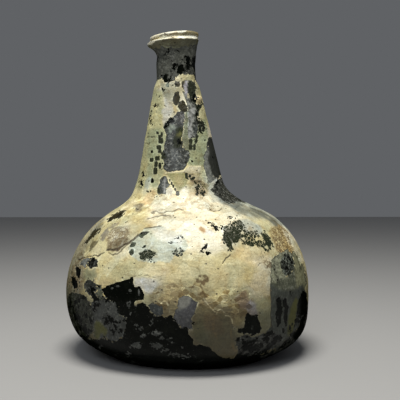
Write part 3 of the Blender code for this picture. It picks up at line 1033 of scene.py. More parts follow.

# Stained lines, and painted highlights along edges and ridges: colour, strength, half width in pixels, and
# the line.
strokes = {
    "ringStain": ("burnt", 0.95, 1.15, [
        (198.4, 279), (200.6, 276.4), (202, 278), (204.6, 276.0), (207, 279.6), (204.8, 281.4),
        (204.4, 284), (201.8, 282.6), (199, 282.8), (198.4, 279),
    ]),
    "ringTail": ("burnt", 0.75, 0.8, [(202.4, 284), (201.8, 288), (202.6, 291.5)]),
    "blot": ("burnt", 0.75, 1.1, [(199.6, 295), (202.8, 292.8), (205.6, 296.6)]),
    "dropA": ("burnt", 0.80, 1.1, [(189.8, 287.8), (193.4, 287.2)]),
    "dropB": ("burnt", 0.6, 0.8, [(176.5, 286.6), (178.6, 287.4)]),
    "whorlA": ("umber", 0.45, 0.6, [
        (107.5, 234), (110.4, 229.6), (116, 226.4), (122, 226.6), (126.6, 229.4), (128, 233),
    ]),
    "whorlB": ("umber", 0.50, 0.7, [
        (106.4, 239.6), (109.6, 236.6), (113.6, 238.6), (112, 242), (108.6, 243.4),
    ]),
    "whorlC": ("umber", 0.5, 0.8, [
        (107, 247.6), (110.6, 244.6), (115, 244), (119.6, 241.6), (124.6, 240.8), (127, 238),
    ]),
    "whorlD": ("umber", 0.45, 0.6, [
        (116, 233.4), (119.6, 230.8), (124, 232), (125, 236), (121, 238.4), (117, 237.4),
    ]),
    "whorlE": ("umber", 0.5, 0.7, [(112, 249.4), (116.6, 246.6), (121.6, 245.8), (125, 243)]),
    "plateStreakA": ("burnt", 0.35, 1.2, [(231, 330), (232.4, 340), (233.6, 352)]),
    "plateStreakB": ("burnt", 0.3, 1.5, [(214, 318), (213, 328), (216, 338)]),
    # The ridge strokes, plateTop, plateSide, toothLit, panelTop and mintFoot are painted highlights along
    # raised edges.
    "ridgeA": ("ridge", 0.50, 0.5, [(202, 298), (206.6, 302.6), (211, 307.6), (215.4, 311.6)]),
    "ridgeB": ("ridge", 0.35, 0.5, [(217, 314), (217.6, 310.6), (221, 309.2), (224.6, 312.4)]),
    "ridgeC": ("ridge", 0.35, 0.5, [(225.4, 315.4), (229, 316), (232.2, 319.2), (232.6, 323)]),
    "ridgeD": ("ridge", 0.50, 0.6, [(214.6, 300.4), (218.6, 302.4), (223, 301.8), (227, 300)]),
    "ridgeE": ("ridge", 0.6, 0.5, [(234.6, 296.6), (238.4, 294.4), (241.4, 291)]),
    "ridgeF": ("ridge", 0.6, 0.5, [(178.6, 299.6), (182.4, 296.2), (188, 295.6), (193.4, 299.4)]),
    "ridgeG": ("ridge", 0.35, 0.5, [(198, 303.4), (196.4, 309.4), (193.6, 315.4)]),
    "ridgeH": ("ridge", 0.5, 0.5, [(160.6, 303.2), (164.4, 301), (168.4, 304.4)]),
    "plateTop": ("ridge", 0.9, 0.55, [(165, 173.2), (170, 172.2), (177, 172.2), (184.6, 171.8)]),
    "plateSide": ("ridge", 0.7, 0.45, [(167.4, 176), (171.4, 181), (174.6, 187), (177, 191)]),
    "toothLit": ("ridge", 0.8, 0.6, [(189.4, 166.8), (195, 166.2), (201, 166.6)]),
    # toothShade is a painted shadow under the tooth.
    "toothShade": ("umber", 0.85, 0.6, [(184.6, 172.4), (190, 174.2), (196, 174.4), (200.6, 173.8)]),
    "cornerA": ("umber", 0.8, 1.2, [(191.6, 179.8), (196.6, 181.2), (201, 181.6)]),
    "cornerB": ("umber", 0.8, 1.1, [(197.2, 185.4), (197.6, 194)]),
    "cornerC": ("moss", 0.8, 0.7, [(203.4, 183), (205.6, 186), (207.6, 190)]),
    "cornerD": ("umber", 0.8, 1.4, [(201.6, 192), (204.6, 195)]),
    # lipLit and rimLit are painted highlights along the lip's top and the rim's edge.
    "lipLit": ("litEdge", 0.80, 0.8, [(151, 37), (160, 34), (170, 32.6), (180, 31.2), (190, 30.6)]),
    "lipGrains": ("umber", 0.7, 0.6, [(149.6, 40.2), (156, 37.6), (163, 35.9), (171, 34.8)]),
    "rimLit": ("litEdge", 0.7, 0.7, [
        (148, 43.6), (158, 39.8), (168, 37), (180, 36.6), (190, 37.2), (199, 38.4),
    ]),
    "panelTop": ("ridge", 0.6, 0.5, [(271.4, 262), (274, 257), (278, 253.6)]),
    "mintFoot": ("ridge", 0.5, 0.5, [(150, 263), (161, 264.4), (170, 264.2), (175, 257.4)]),
}

# Stains and tones of the crust, with some painted highlights and painted shade among them: colour, strength,
# softness of the edge in pixels, and the outline.
tones = {
    "smokeBase": ("smoke", 0.9, 7, [
        (209, 186), (222, 190), (236, 194), (250, 197), (262, 200), (276, 206), (296, 228), (286, 229),
        (277, 224), (268, 219), (258, 218), (247, 218), (238, 214), (226, 209), (217, 204), (210, 197),
    ]),
    # A painted highlight: a pale tone over the top of the shoulder, where the light shines on it.
    "shoulderHighlight": ("pale", 0.85, 12, [
        (150, 205), (170, 192), (205, 188), (232, 206), (248, 226), (236, 244), (212, 254), (180, 246),
        (160, 232), (146, 218),
    ]),
    "leftShoulder": ("cream", 0.6, 10, [
        (70, 262), (84, 240), (104, 218), (128, 204), (150, 205), (146, 226), (130, 240), (112, 258),
        (92, 270),
    ]),
    "neckRootWhite": ("white", 0.35, 6, [
        (148, 196), (165, 192), (180, 196), (190, 204), (174, 209), (156, 210), (144, 206),
    ]),
    "neckFootHaze": ("smoke", 0.75, 3, [
        (208, 190), (216, 188), (224, 195), (233, 202), (222, 205), (212, 199),
    ]),
    "neckFootPale": ("neckChalk", 0.8, 2, [
        (204, 178), (209, 176), (218, 178.6), (224, 177), (218, 181.6), (210, 190), (206, 188),
    ]),
    "smudgeA": ("slate", 0.75, 4, [
        (219, 192), (228, 195), (238, 199), (241, 206), (233, 208), (225, 205), (218, 198),
    ]),
    "smudgeB": ("slate", 0.55, 3, [
        (235, 205), (243, 206), (250, 210), (248, 214), (240, 212.5), (234, 209.5),
    ]),
    "smudgeC": ("slate", 0.8, 4, [
        (250, 206), (262, 210), (272, 216), (282, 226), (276, 227), (268, 219), (258, 216), (250, 211),
    ]),
    "smokeHaze": ("hazeGreen", 0.85, 4, [
        (240, 219), (250, 219), (260, 226), (263, 233), (256, 236), (248, 232), (241, 226),
    ]),
    "mint": ("mint", 1.0, 1.5, [
        (138.8, 234), (144.6, 228.2), (161.2, 225.7), (176, 230), (184.4, 236.5), (189.4, 244.8),
        (184, 252), (174.4, 256.4), (169.5, 263.8), (151.2, 262.2), (138.8, 260.5), (130.5, 255.5),
        (128, 248.1), (131.3, 241.4),
    ]),
    # A painted highlight on the top of the mint patch.
    "mintHighlight": ("white", 0.6, 5, [(150, 229), (168, 227), (184, 235), (181, 245), (160, 240)]),
    "lilacByGlass": ("lilacWhite", 0.75, 4, [
        (134.5, 278), (150, 278), (160, 284), (153, 292), (146, 294), (139.5, 286.8), (134, 286.6),
    ]),
    "middle": ("ochre", 0.28, 14, [
        (150, 270), (196, 262), (258, 268), (272, 280), (272, 300), (240, 308), (205, 302), (185, 290),
        (160, 285),
    ]),
    "roughBrown": ("brown", 0.80, 3, [
        (150, 291), (160, 285), (175, 281), (192, 284), (203, 291), (207, 300), (198, 303), (192, 298.6),
        (185, 295.9), (178, 299), (178.8, 305.7), (175, 316), (166, 316), (161.8, 314), (155, 305),
        (148, 300),
    ]),
    "veins": ("brown", 0.85, 2.5, [
        (198, 300), (204, 296), (212, 300), (222, 306), (236, 308), (244, 303), (251, 306), (249, 315),
        (236, 318), (224, 316), (210, 311), (199, 309),
    ]),
    "plate": ("khaki", 0.95, 1.2, [
        (192.5, 330), (192.5, 317.5), (198.8, 303.2), (214.8, 311.3), (230, 316.6), (232.7, 322),
        (237, 338), (237, 354), (233.6, 360), (223.8, 360), (215.7, 356), (210.4, 350), (201.4, 344),
        (192, 348), (188, 332.7),
    ]),
    "plateRust": ("rustDark", 0.5, 4, [
        (204, 314), (214, 312), (222, 318), (223, 332), (213, 336), (205, 327),
    ]),
    "plateGreen": ("moss", 0.55, 4, [(193, 322), (202, 318), (206, 334), (214, 346), (204, 345), (193, 336)]),
    "pinkStain": ("pinkBrown", 0.8, 2, [
        (235, 297), (240, 291.6), (246, 292), (250, 303), (246, 310), (238, 306),
    ]),
    "lilacLow": ("lilac", 0.7, 2, [
        (246, 303), (250, 300.5), (258, 302), (257, 315), (251.4, 315.7), (248.3, 312.5),
    ]),
    "lowStrip": ("khakiCream", 0.8, 3, [
        (257, 300), (271, 296), (272, 326), (264, 334), (261, 324), (258, 314),
    ]),
    "orangeRight": ("orange", 0.4, 7, [
        (233, 247), (243, 245), (258, 246), (272, 252), (268, 264), (250, 266), (236, 258),
    ]),
    "orangeSpot": ("rust", 0.95, 1.4, [
        (198.2, 229), (201, 226.4), (204, 228), (206.4, 231.6), (204, 233), (200.5, 231.7),
    ]),
    "whiteSpeck": ("white", 0.9, 1.4, [(205, 228), (210, 228), (213, 233), (210, 236), (206, 234)]),
    "ochreNet": ("ochre", 0.85, 2, [
        (268, 232), (273.8, 225.6), (281, 226), (288, 236), (293.8, 247), (293, 255), (284, 254),
        (276, 251), (272, 243),
    ]),
    "rightRim": ("pale", 0.5, 3, [
        (282, 226), (290, 236), (299, 250), (304, 262), (300, 262), (294, 250), (286, 238),
    ]),
    "greyStain": ("stainPale", 0.7, 3.5, [
        (106.4, 234), (112, 229), (118, 225.7), (128.8, 225.7), (129.5, 236.5), (126.3, 243.9),
        (118, 248.9), (109.8, 250.1), (105.6, 249.7), (106, 243.1),
    ]),
    "greyStainLow": ("umber", 0.50, 3, [
        (104.6, 250.6), (105.4, 243), (108, 239.6), (113, 242), (119, 238.4), (127, 236.6), (129, 239),
        (127, 243.6), (120, 248), (112, 250.6),
    ]),
    "lensLow": ("umber", 0.8, 1.0, [
        (89, 250), (90, 245), (93, 241.5), (96.8, 240.8), (96, 245.5), (93, 249.8), (90.5, 251),
    ]),
    "lensMiddle": ("greyBrown", 0.9, 1.0, [
        (97.5, 241), (101, 234.5), (105, 230.5), (109, 227.3), (109.4, 229.8), (106, 235), (101.5, 240.5),
    ]),
    "lensTop": ("greyBrown", 0.7, 1.0, [
        (109, 227.5), (114, 223.5), (119, 221.2), (118.4, 223.7), (113, 227),
    ]),
    "neckFootStain": ("greyBrown", 0.75, 2, [
        (134, 211), (136, 205), (142, 202.5), (144, 206.5), (141, 211.5), (137, 212.5),
    ]),
    "leftOlive": ("olive", 0.8, 2, [
        (80.7, 269), (88, 269.5), (94.8, 268.5), (97, 274), (94, 279), (86, 281), (82, 278),
    ]),
    "farLeft": ("edgeGrey", 0.75, 5, [
        (60, 300), (64, 268), (76, 246), (96, 222), (104, 217), (98, 232), (84, 252), (83, 268), (83, 290),
        (72, 300),
    ]),
    "neckKhaki": ("khakiCream", 0.90, 5, [
        (150, 92), (164, 90), (163, 110), (161, 126), (155, 150), (152, 170), (146, 186), (134, 190),
        (138, 160), (143, 130),
    ]),
    # Pale crust on the neck, with a painted highlight column down it.
    "neckWhite": ("neckChalk", 0.9, 2.5, [
        (165.8, 98), (172.7, 98), (171.5, 112), (168.5, 120), (163, 126), (161, 116), (164, 106),
    ]),
    "neckHigh": ("hazeGrey", 0.9, 3, [
        (160, 83), (171, 81.5), (176, 81), (181, 90), (174, 93), (172.5, 98), (166, 98), (161.5, 91),
    ]),
    "neckRightHigh": ("khakiCream", 0.8, 3, [
        (196, 84), (200, 88), (209, 124), (203, 124), (198, 112), (196.5, 98),
    ]),
    "neckCollar": ("collar", 0.60, 3, [
        (160, 78), (168, 84), (176, 79), (186, 79), (197, 82), (197, 92), (196, 104), (189, 104),
        (182, 92), (180, 106), (172, 106), (166, 98), (160, 90),
    ]),
    "neckPaleBand": ("lilacWhite", 0.8, 1.5, [
        (187, 112), (191.6, 112), (193.6, 122), (192.6, 134), (189.6, 140), (187.4, 132),
    ]),
    "neckGreen": ("greenKhaki", 0.95, 3, [
        (197, 122), (206, 118), (209, 138), (206.5, 150), (204, 167), (201.6, 165.8), (189.6, 165.8),
        (187, 164), (188, 150), (190, 136), (197.5, 132),
    ]),
    "bandRidge": ("ridgeGreen", 0.95, 1.0, [
        (185.4, 110), (188, 108), (188.8, 118), (187.8, 130), (189.2, 140), (189, 150.6), (183.6, 148.6),
        (183.4, 135), (184, 124), (186, 117),
    ]),
    "chainField": ("greenKhaki", 0.7, 3, [
        (148, 130), (164, 128), (166, 140), (163, 150), (164, 172), (161, 178), (158, 186), (152, 187),
        (147, 178),
    ]),
    "neckGreenLow": ("greenKhaki", 0.35, 3, [
        (200, 163), (205, 163), (208, 177), (213, 184), (208, 189), (203, 180),
    ]),
    "neckOrange": ("orange", 0.8, 2, [
        (139, 202), (146, 191), (153, 188.5), (157, 192.5), (154, 199), (147, 206),
    ]),
    "neckTeal": ("tealPale", 0.8, 2, [(144, 186), (145.5, 178), (151, 176.5), (150, 184), (147, 187.5)]),
    "neckPlate": ("ochreKhaki", 1.0, 1.2, [
        (165.9, 172.6), (185, 171.9), (187.3, 180.3), (185.8, 185.5), (178.5, 191.4), (173.6, 183.3),
        (169, 176.5),
    ]),
    # A painted highlight: the lit part of the neck plate in a lighter ochre.
    "neckPlateLit": ("ochre", 0.35, 3, [(174, 175), (184, 175), (184, 184), (178, 188)]),
    "tooth": ("toothCream", 1.0, 0.9, [
        (184.3, 171), (189.6, 166.2), (193.5, 166.4), (201.4, 166.2), (200, 173.2), (191.2, 173.2),
        (185, 172.2),
    ]),
    "notchWhite": ("white", 0.9, 1.2, [(165.5, 189), (170.5, 187.2), (173, 191), (172, 195), (166, 194)]),
    "drip": ("ochre", 0.9, 1.2, [(172.8, 106), (176, 106), (176.6, 112), (174, 114), (172.6, 110)]),
    "nodule": ("beadCream", 0.9, 1.0, [
        (194.8, 97), (197.5, 94.6), (201, 96.5), (202.5, 101), (199.5, 104), (195.8, 102.5),
    ]),
    "lipPale": ("lipGrey", 0.85, 2, [
        (140, 28), (206, 24), (206, 44), (196, 40), (178, 38), (160, 42), (148, 48), (140, 50),
    ]),
    "cornerKhaki": ("cornerCream", 0.75, 3, [
        (186, 173), (197, 174), (206, 182), (209, 194), (200, 199), (194, 192), (190, 182),
    ]),
    "groove": ("grooveBrown", 0.9, 0.8, [
        (168, 33.6), (176, 31.8), (188, 31), (201, 32), (201, 37.5), (190, 35.8), (180, 34.6), (172, 35),
    ]),
    # The rim's underside: its olive colour darkened further as painted shade, and rimShade is more painted
    # shade under the rim.
    "underRim": ("rimOlive", 0.95, 0.8, [
        (136, 49), (147, 45.6), (152, 42.8), (160, 40.8), (170, 38.8), (180, 37.6), (190, 38.9),
        (204, 40.2), (206, 50), (180, 54), (158, 56), (136, 56),
    ]),
    "rimShade": ("olive", 0.55, 1.0, [(160, 45), (172, 42.6), (172, 47.6), (160, 50)]),
}

# Cracks and creases: half width in pixels, depth from 0 to 1, and the line.
cracks = {
    "shoulderLeft": (0.45, 1.0, [(78.5, 260), (81, 258), (87.4, 256.4), (95.7, 255.1), (103.1, 252.2)]),
    "stainUnder": (0.4, 0.8, [(107.5, 253.5), (111.4, 254.5), (118, 251.8), (125.5, 246), (130, 243)]),
    "stainEdge": (0.8, 1.0, [
        (105.4, 250.3), (109.8, 249.5), (118, 248.3), (126.3, 243.9), (133, 239.8), (138, 235),
    ]),
    "neckRingLow": (0.45, 0.8, [(147.9, 217.6), (152, 216.4), (157.8, 215.7), (164, 214), (170.3, 215.2)]),
    "neckRingHigh": (0.5, 0.8, [
        (151.2, 212), (157, 211), (163.6, 211.6), (168, 210), (171.1, 210.6), (176, 208.8), (182.7, 209.5),
    ]),
    "shoulderRight": (0.4, 0.9, [(209.5, 208.4), (214, 210.2), (218.4, 210), (221, 208.6)]),
    "tick": (0.45, 0.9, [(229.6, 253.6), (226.5, 258.5), (223.8, 263.2)]),
    "mintTop": (0.4, 0.8, [(144.6, 228.4), (152, 227.4), (161.2, 225.9)]),
    "neckTickA": (0.4, 0.8, [(147.3, 137.6), (150, 137.1), (153.9, 137.4)]),
    "neckTickB": (0.4, 0.7, [(155, 106), (161, 105.4), (166, 105)]),
    "neckTickC": (0.35, 0.6, [(146.4, 144.6), (149, 144.3)]),
    "underRimA": (0.4, 0.6, [(163, 41.6), (168, 40.6), (173, 40.4)]),
    "underRimB": (0.4, 0.7, [(160, 46.4), (167, 45.4), (174, 45.2)]),
    "underRimC": (0.4, 0.7, [(176, 50), (182, 48.6), (190, 48), (193, 48.4)]),
    "panelEdge": (0.45, 1.0, [(271.6, 262), (272.2, 275), (271.4, 290), (272, 305), (271.6, 328)]),
    "leftCheek": (0.3, 0.5, [(133.5, 277), (140, 275.5), (148, 276), (156, 279)]),
    "shoulderNick": (0.35, 0.7, [(262, 251), (264, 256), (262, 262), (257, 266)]),
}

# Plates of crust that stand a little higher than the rest.
plates = {
    "tooth": tones["tooth"][3],
    "neckPlate": tones["neckPlate"][3],
    "lowPlate": tones["plate"][3],
    "leftCheek": [
        (98, 286), (104, 262), (112, 255), (124, 250), (128, 257), (140, 264), (138, 274), (132, 276),
        (117, 281.5), (103, 288),
    ],
    "rightCheek": [
        (224, 262), (228, 252), (240, 247), (256, 248), (270, 256), (271.4, 262), (271.4, 290), (262, 296),
        (246, 291), (232, 290), (222, 276),
    ],
}


farOff = 14.0  # pixels, as far as an outline is felt


def insideBy(spots, outline, reach=farOff):
    # how far inside the outline each spot lies, in pixels, and negative outside
    corners = np.array(outline, dtype=float)
    found = np.full(len(spots), -reach)
    near = ((spots > corners.min(0) - reach) & (spots < corners.max(0) + reach)).all(1)
    at = spots[near]
    if not len(at):
        return found
    least = np.full(len(at), 1e9)
    within = np.zeros(len(at), dtype=bool)
    for a, b in zip(corners, np.roll(corners, -1, axis=0)):
        side = b - a
        share = np.clip(((at - a) @ side) / (side @ side), 0, 1)
        least = np.minimum(least, np.linalg.norm(at - a - share[:, None] * side, axis=1))
        crosses = (a[1] > at[:, 1]) != (b[1] > at[:, 1])
        if a[1] != b[1]:
            within ^= crosses & (at[:, 0] < (b[0] - a[0]) * (at[:, 1] - a[1]) / (b[1] - a[1]) + a[0])
    found[near] = np.where(within, least, -least)
    return np.maximum(found, -reach)


def deepest(spots, outlines):
    return np.maximum.reduce([insideBy(spots, outline) for outline in outlines])


def awayFrom(spots, line, reach=6.0):
    # how far from an open line each spot lies, in pixels
    corners = np.array(line, dtype=float)
    found = np.full(len(spots), reach)
    near = ((spots > corners.min(0) - reach) & (spots < corners.max(0) + reach)).all(1)
    at = spots[near]
    for a, b in zip(corners[:-1], corners[1:]):
        side = b - a
        share = np.clip(((at - a) @ side) / (side @ side), 0, 1)
        found[near] = np.minimum(found[near], np.linalg.norm(at - a - share[:, None] * side, axis=1))
    return found


def onLine(spots, line, half, fade):
    # 1 on the line, and 0 where it has faded out beside it
    return 1 - smooth(awayFrom(spots, line), half * 0.6, half * fade)


def inBox(spots, box):
    # the same for a box with its corners cut a little
    left, top, right, bottom = box
    across = (right - left) / 2 - np.abs(spots[:, 0] - (left + right) / 2)
    down = (bottom - top) / 2 - np.abs(spots[:, 1] - (top + bottom) / 2)
    return np.minimum(np.minimum(across, down), (across + down) * 0.8 - 0.4)


def inSpot(spots, spot):
    across, down, halfWidth, halfHeight = spot
    far = np.hypot((spots[:, 0] - across) / halfWidth, (spots[:, 1] - down) / halfHeight)
    return (1 - far) * min(halfWidth, halfHeight)


# Wear of the sides that the view does not show: the same kinds of patches, by noise alone.
farSide = {
    "farGlass": 0.01,  # share of the patches
    "farFilm": 0.07,
    "steepness": 16,
    "lowGlass": 7,
    "lowFrom": 0.040,
    "lowTo": 0.010,
    "lipClear": 12,
    "lipFrom": 0.006,
    "lipTo": 0.001,
    "joinAt": -0.20,
    "joinWidth": 0.04,
    "joinWander": 0.13,
    "behind": 0.032,
}

# Low down: painted shade that darkens the crust and the film towards the bottom, and a khaki tone towards the
# foot, each with its strength and where it starts and is full.
lowTones = {
    "lowShade": 0.70,
    "lowShadeTop": 0.050,
    "lowShadeFoot": 0.027,
    "khaki": 0.7,
    "khakiTop": 0.042,
    "khakiFoot": 0.014,
}

# How outlines are broken up: a coarse and a fine push in pixels, less where edges are calm.
ragged = {
    "coarse": 1.3,
    "coarseSize": 0.0060,
    "fine": 0.7,
    "fineSize": 0.0020,
    "calmed": 0.75,
    "flake": 0.0022,
    "flakeShare": 0.25,
}

# The noises: size, octaves, and a number that makes each one its own.
noises = {
    "join": (0.011, 3, 17),
    "farGlass": (0.026, 3, 11),
    "farFilm": (0.021, 3, 23),
    "cream": (0.022, 3, 41),
    "ochre": (0.014, 4, 53),
    "white": (0.017, 3, 67),
    "farNet": (0.012, 3, 83),
    "farWeb": (0.011, 3, 87),
    "farChips": (0.016, 3, 89),
    "lumps": (0.0045, 3, 91),
    "broken": (0.0022, 2, 93),
    "layers": (0.009, 3, 97),
}


def noiseOf(points, name):
    return noiseAt(points, *noises[name])


def farDepth(points, name):
    # how deep each point lies in the patches of the far side, in pixels as on the front
    steep = farSide["steepness"]
    return noiseOf(points, name) * steep - steep * (0.5 - farSide[name])


def lookAt(points, normals):
    # where each point falls in the view, pushed about as broken edges are, and how far it is seen
    toEye = eye - points
    toEye /= np.linalg.norm(toEye, axis=1)[:, None]
    facing = (normals * toEye).sum(1)
    plain = toPhoto(points)
    push = ragged["coarse"] * wander(points, ragged["coarseSize"], 3)
    push += ragged["fine"] * wander(points, ragged["fineSize"], 7)
    calm = deepest(plain, calmEdges.values())
    push = push * (1 - ragged["calmed"] * smooth(calm, -2.0, 1.0))[:, None]
    joinLine = facing + farSide["joinWander"] * noiseOf(points, "join")
    seen = smooth(joinLine, farSide["joinAt"], farSide["joinAt"] + farSide["joinWidth"])
    seen[points[:, 1] > farSide["behind"]] = 0
    return {
        "facing": facing, "plain": plain, "push": push, "spots": plain + push, "seen": seen,
        "calm": smooth(calm, -1.5, 1.5) * seen,
    }


def patchesAt(points, look):
    # how deep each point lies in bare glass and in film, the film's own looks, and the cracks
    spots, seen = look["spots"], look["seen"]
    flakeSpots = toPhoto(cellOf(points, ragged["flake"], 61)) + look["push"] * 0.5
    flakeSpots = spots * (1 - ragged["flakeShare"]) + flakeSpots * ragged["flakeShare"]
    glass = deepest(flakeSpots, glassPatches.values())
    for spot in glassSpots:
        glass = np.maximum(glass, inSpot(spots, spot))
    film = np.full(len(points), -farOff)
    tint = np.tile(np.array(colours["filmGrey"]), (len(points), 1))
    holes = np.zeros(len(points))
    haze = np.full(len(points), 0.4)
    patches = [(insideBy(flakeSpots, patch[3]), 1.0, 1.0, patch[:3]) for patch in filmPatches.values()]
    patches += [(inBox(spots, box), 0.6, 0.4, ("filmCell", 0.0, 0.2)) for box in squareCells]
    for depth, before, after, (colour, holeShare, hazed) in patches:
        film = np.maximum(film, depth)
        share = smooth(depth, -before, after)
        holes, haze = laid(holes, holeShare, share), laid(haze, hazed, share)
        tint = laid(tint, colours[colour], share)

    up = points[:, 2]
    onLip = smooth(up, neckTop - farSide["lipFrom"], neckTop - farSide["lipTo"]) * farSide["lipClear"]
    low = smooth(up, farSide["lowFrom"], farSide["lowTo"]) * farSide["lowGlass"]
    farGlass = farDepth(points, "farGlass") + (low - 1.0) - onLip
    farFilm = farDepth(points, "farFilm") - onLip
    glass = laid(np.clip(farGlass, -farOff, 8), glass, seen)
    film = laid(np.clip(farFilm, -farOff, 8), film, seen)
    holes = laid(0.08 + 0.3 * smooth(farFilm, -2.0, 3.0), holes, seen)
    film = np.maximum(film, glass)
    for spot in flakes:
        glass = np.minimum(glass, -inSpot(spots, spot))

    crack = np.zeros(len(points))
    for half, depth, line in cracks.values():
        crack = np.maximum(crack, depth * onLine(spots, line, half, 1.7))
    return {"glass": glass, "film": film, "tint": tint, "holes": holes, "haze": haze, "crack": crack * seen}


def edgesAt(look):
    # how far each point is from the nearest stroke, and from the nearest stroke or crisp tone
    spots, inView = look["spots"], look["facing"] > grain["turnedAway"]
    stroke = np.full(len(spots), farOff)
    for _, _, half, line in strokes.values():
        stroke = np.minimum(stroke, np.maximum(awayFrom(spots, line) - half, 0.0))
    tone = stroke
    for _, _, soft, outline in tones.values():
        if soft <= grain["crispTone"]:
            depth = insideBy(spots, outline)
            tone = np.minimum(tone, np.where(depth > grain["toneInside"], farOff, np.maximum(-depth, 0.0)))
    return inView, np.where(inView, stroke, farOff), np.where(inView, tone, farOff)


def crustAt(points, look):
    # the crust's colour, with its washes, tones, painted shade towards the bottom, and strokes, among them
    # painted highlights
    spots, seen, up = look["spots"], look["seen"], points[:, 2]
    crust = np.tile(np.array(colours["cream"]), (len(points), 1))
    crust = crust * (1 + 0.10 * noiseOf(points, "cream")[:, None])
    for colour, low, high, most in (("ochre", 0.05, 0.7, 0.45), ("white", 0.10, 0.8, 0.5)):
        crust = laid(crust, colours[colour], smooth(noiseOf(points, colour), low, high) * most)
    khaki = smooth(up, lowTones["khakiTop"], lowTones["khakiFoot"]) * lowTones["khaki"]
    crust = laid(crust, colours["khaki"], khaki)
    for colour, strength, soft, outline in tones.values():
        share = strength * smooth(insideBy(spots, outline, 20.0), -soft / 2, soft / 2) * seen
        crust = laid(crust, colours[colour], share)
    # painted shade: the crust darker towards the bottom
    lowShade = 1 - lowTones["lowShade"] * smooth(up, lowTones["lowShadeTop"], lowTones["lowShadeFoot"])
    crust = crust * lowShade[:, None]
    broken = smooth(noiseOf(points, "broken"), -0.9, -0.2)
    for colour, strength, half, line in strokes.values():
        crust = laid(crust, colours[colour], strength * onLine(spots, line, half, 1.5) * broken * seen)
    return crust, lowShade


def wearOf(points, normals):
    # all the fields that say what the ground left where, at each point of the outside
    look = lookAt(points, normals)
    wear = patchesAt(points, look)
    wear["crust"], lowShade = crustAt(points, look)
    # the film takes half of the painted shade towards the bottom
    wear["tint"] = wear["tint"] * (0.5 + 0.5 * lowShade)[:, None]
    seen = look["seen"]

    def spread(patches, low, high, behind):
        shares = []
        for strength, outline in patches.values():
            shares.append(strength * smooth(insideBy(look["spots"], outline), low, high))
        return laid(behind, np.maximum.reduce(shares), seen)

    wear["net"] = spread(nets, -2.0, 1.4, 0.9 * smooth(noiseOf(points, "farNet"), 0.38, 0.62))
    wear["web"] = spread(webs, -1.5, 1.5, smooth(noiseOf(points, "farWeb"), 0.42, 0.60))
    wear["chips"] = spread(chipped, -3.0, 3.0, smooth(noiseOf(points, "farChips"), 0.0, 0.5))
    wear["plate"] = smooth(deepest(look["spots"], plates.values()), -0.6, 0.6) * seen
    wear.update({"seen": seen, "calm": look["calm"], "spots": look["plain"]})
    return wear


relief = {
    "glass": 0.00036,
    "film": 0.00024,
    "lumps": 0.00006,
    "filmLumps": 0.00003,
    "terrace": 0.00010,
    "crack": 0.00016,
    "plate": 0.00009,
    "edgeDrop": 0.00007,
}

# The bead of crust that stands on the neck: across, down and radius in pixels, and its height.
bead = {"across": 198.6, "down": 99.2, "radius": 3.4, "height": 0.00125}

# How much of the relief each part of the line takes, and over what length it fades out.
allowed = {"kick": 0.6, "finish": 0.35, "fade": 0.004}


def cutAlong(points, fields, faces, level):
    # parts the skin where the level crosses zero: a high side, a low side and a wall between them
    count = len(points)
    edges, ofFace = edgesOf(faces, count)
    a, b = edges.T
    crosses = (level[a] > 0) != (level[b] > 0)
    a, b = a[crosses], b[crosses]
    share = np.clip(level[a] / (level[a] - level[b]), 0.1, 0.9)
    fresh = len(a)
    highOf = np.full(len(edges), -1)
    highOf[crosses] = count + np.arange(fresh)
    lowOf = np.where(crosses, highOf + fresh, -1)

    def withMiddles(values):
        part = share if values.ndim == 1 else share[:, None]
        middle = values[a] + (values[b] - values[a]) * part
        return np.concatenate([values, middle, middle])

    points = withMiddles(points)
    fields = {name: withMiddles(values) for name, values in fields.items()}
    low = np.concatenate([level > 0, np.zeros(fresh, dtype=bool), np.ones(fresh, dtype=bool)])
    corner = level[faces] > 0
    mixed = corner.any(1) & ~corner.all(1)
    f, c, e = faces[mixed], corner[mixed], ofFace[mixed]
    lone = np.where(c.sum(1) == 1, c.argmax(1), (~c).argmax(1))
    order = (lone[:, None] + np.arange(3)) % 3
    f = np.take_along_axis(f, order, 1)
    e = np.take_along_axis(e, order, 1)
    loneLow = np.take_along_axis(c, lone[:, None], 1)[:, 0]
    p, q, r = f.T
    xHigh, yHigh, xLow, yLow = highOf[e[:, 0]], highOf[e[:, 2]], lowOf[e[:, 0]], lowOf[e[:, 2]]
    xOwn, yOwn = np.where(loneLow, xLow, xHigh), np.where(loneLow, yLow, yHigh)
    xOther, yOther = np.where(loneLow, xHigh, xLow), np.where(loneLow, yHigh, yLow)
    ends = [(xHigh, yHigh), (yHigh, xHigh), (yLow, xLow), (xLow, yLow)]
    ends = [np.where(loneLow, first, second) for first, second in ends]
    made = np.concatenate([
        faces[~mixed],
        np.stack([p, xOwn, yOwn], 1),
        np.stack([xOther, q, r], 1),
        np.stack([xOther, r, yOther], 1),
        np.stack([ends[0], ends[1], ends[2]], 1),
        np.stack([ends[0], ends[2], ends[3]], 1),
    ])
    return points, fields, made, low


def partAllows(along):
    starts, fade = partStart, allowed["fade"]
    onKick = along < starts["foot"]
    allow = np.where(onKick, allowed["kick"], 0.0)
    onOutside = (along >= starts["outside"]) & (along < starts["bore"])
    allow[onOutside] = smooth(along[onOutside], starts["outside"], starts["outside"] + fade)
    allow[(along >= starts["finish"]) & (along < starts["bore"])] = allowed["finish"]
    return np.where(onKick, allow * (1 - smooth(along, starts["foot"] - fade, starts["foot"])), allow)


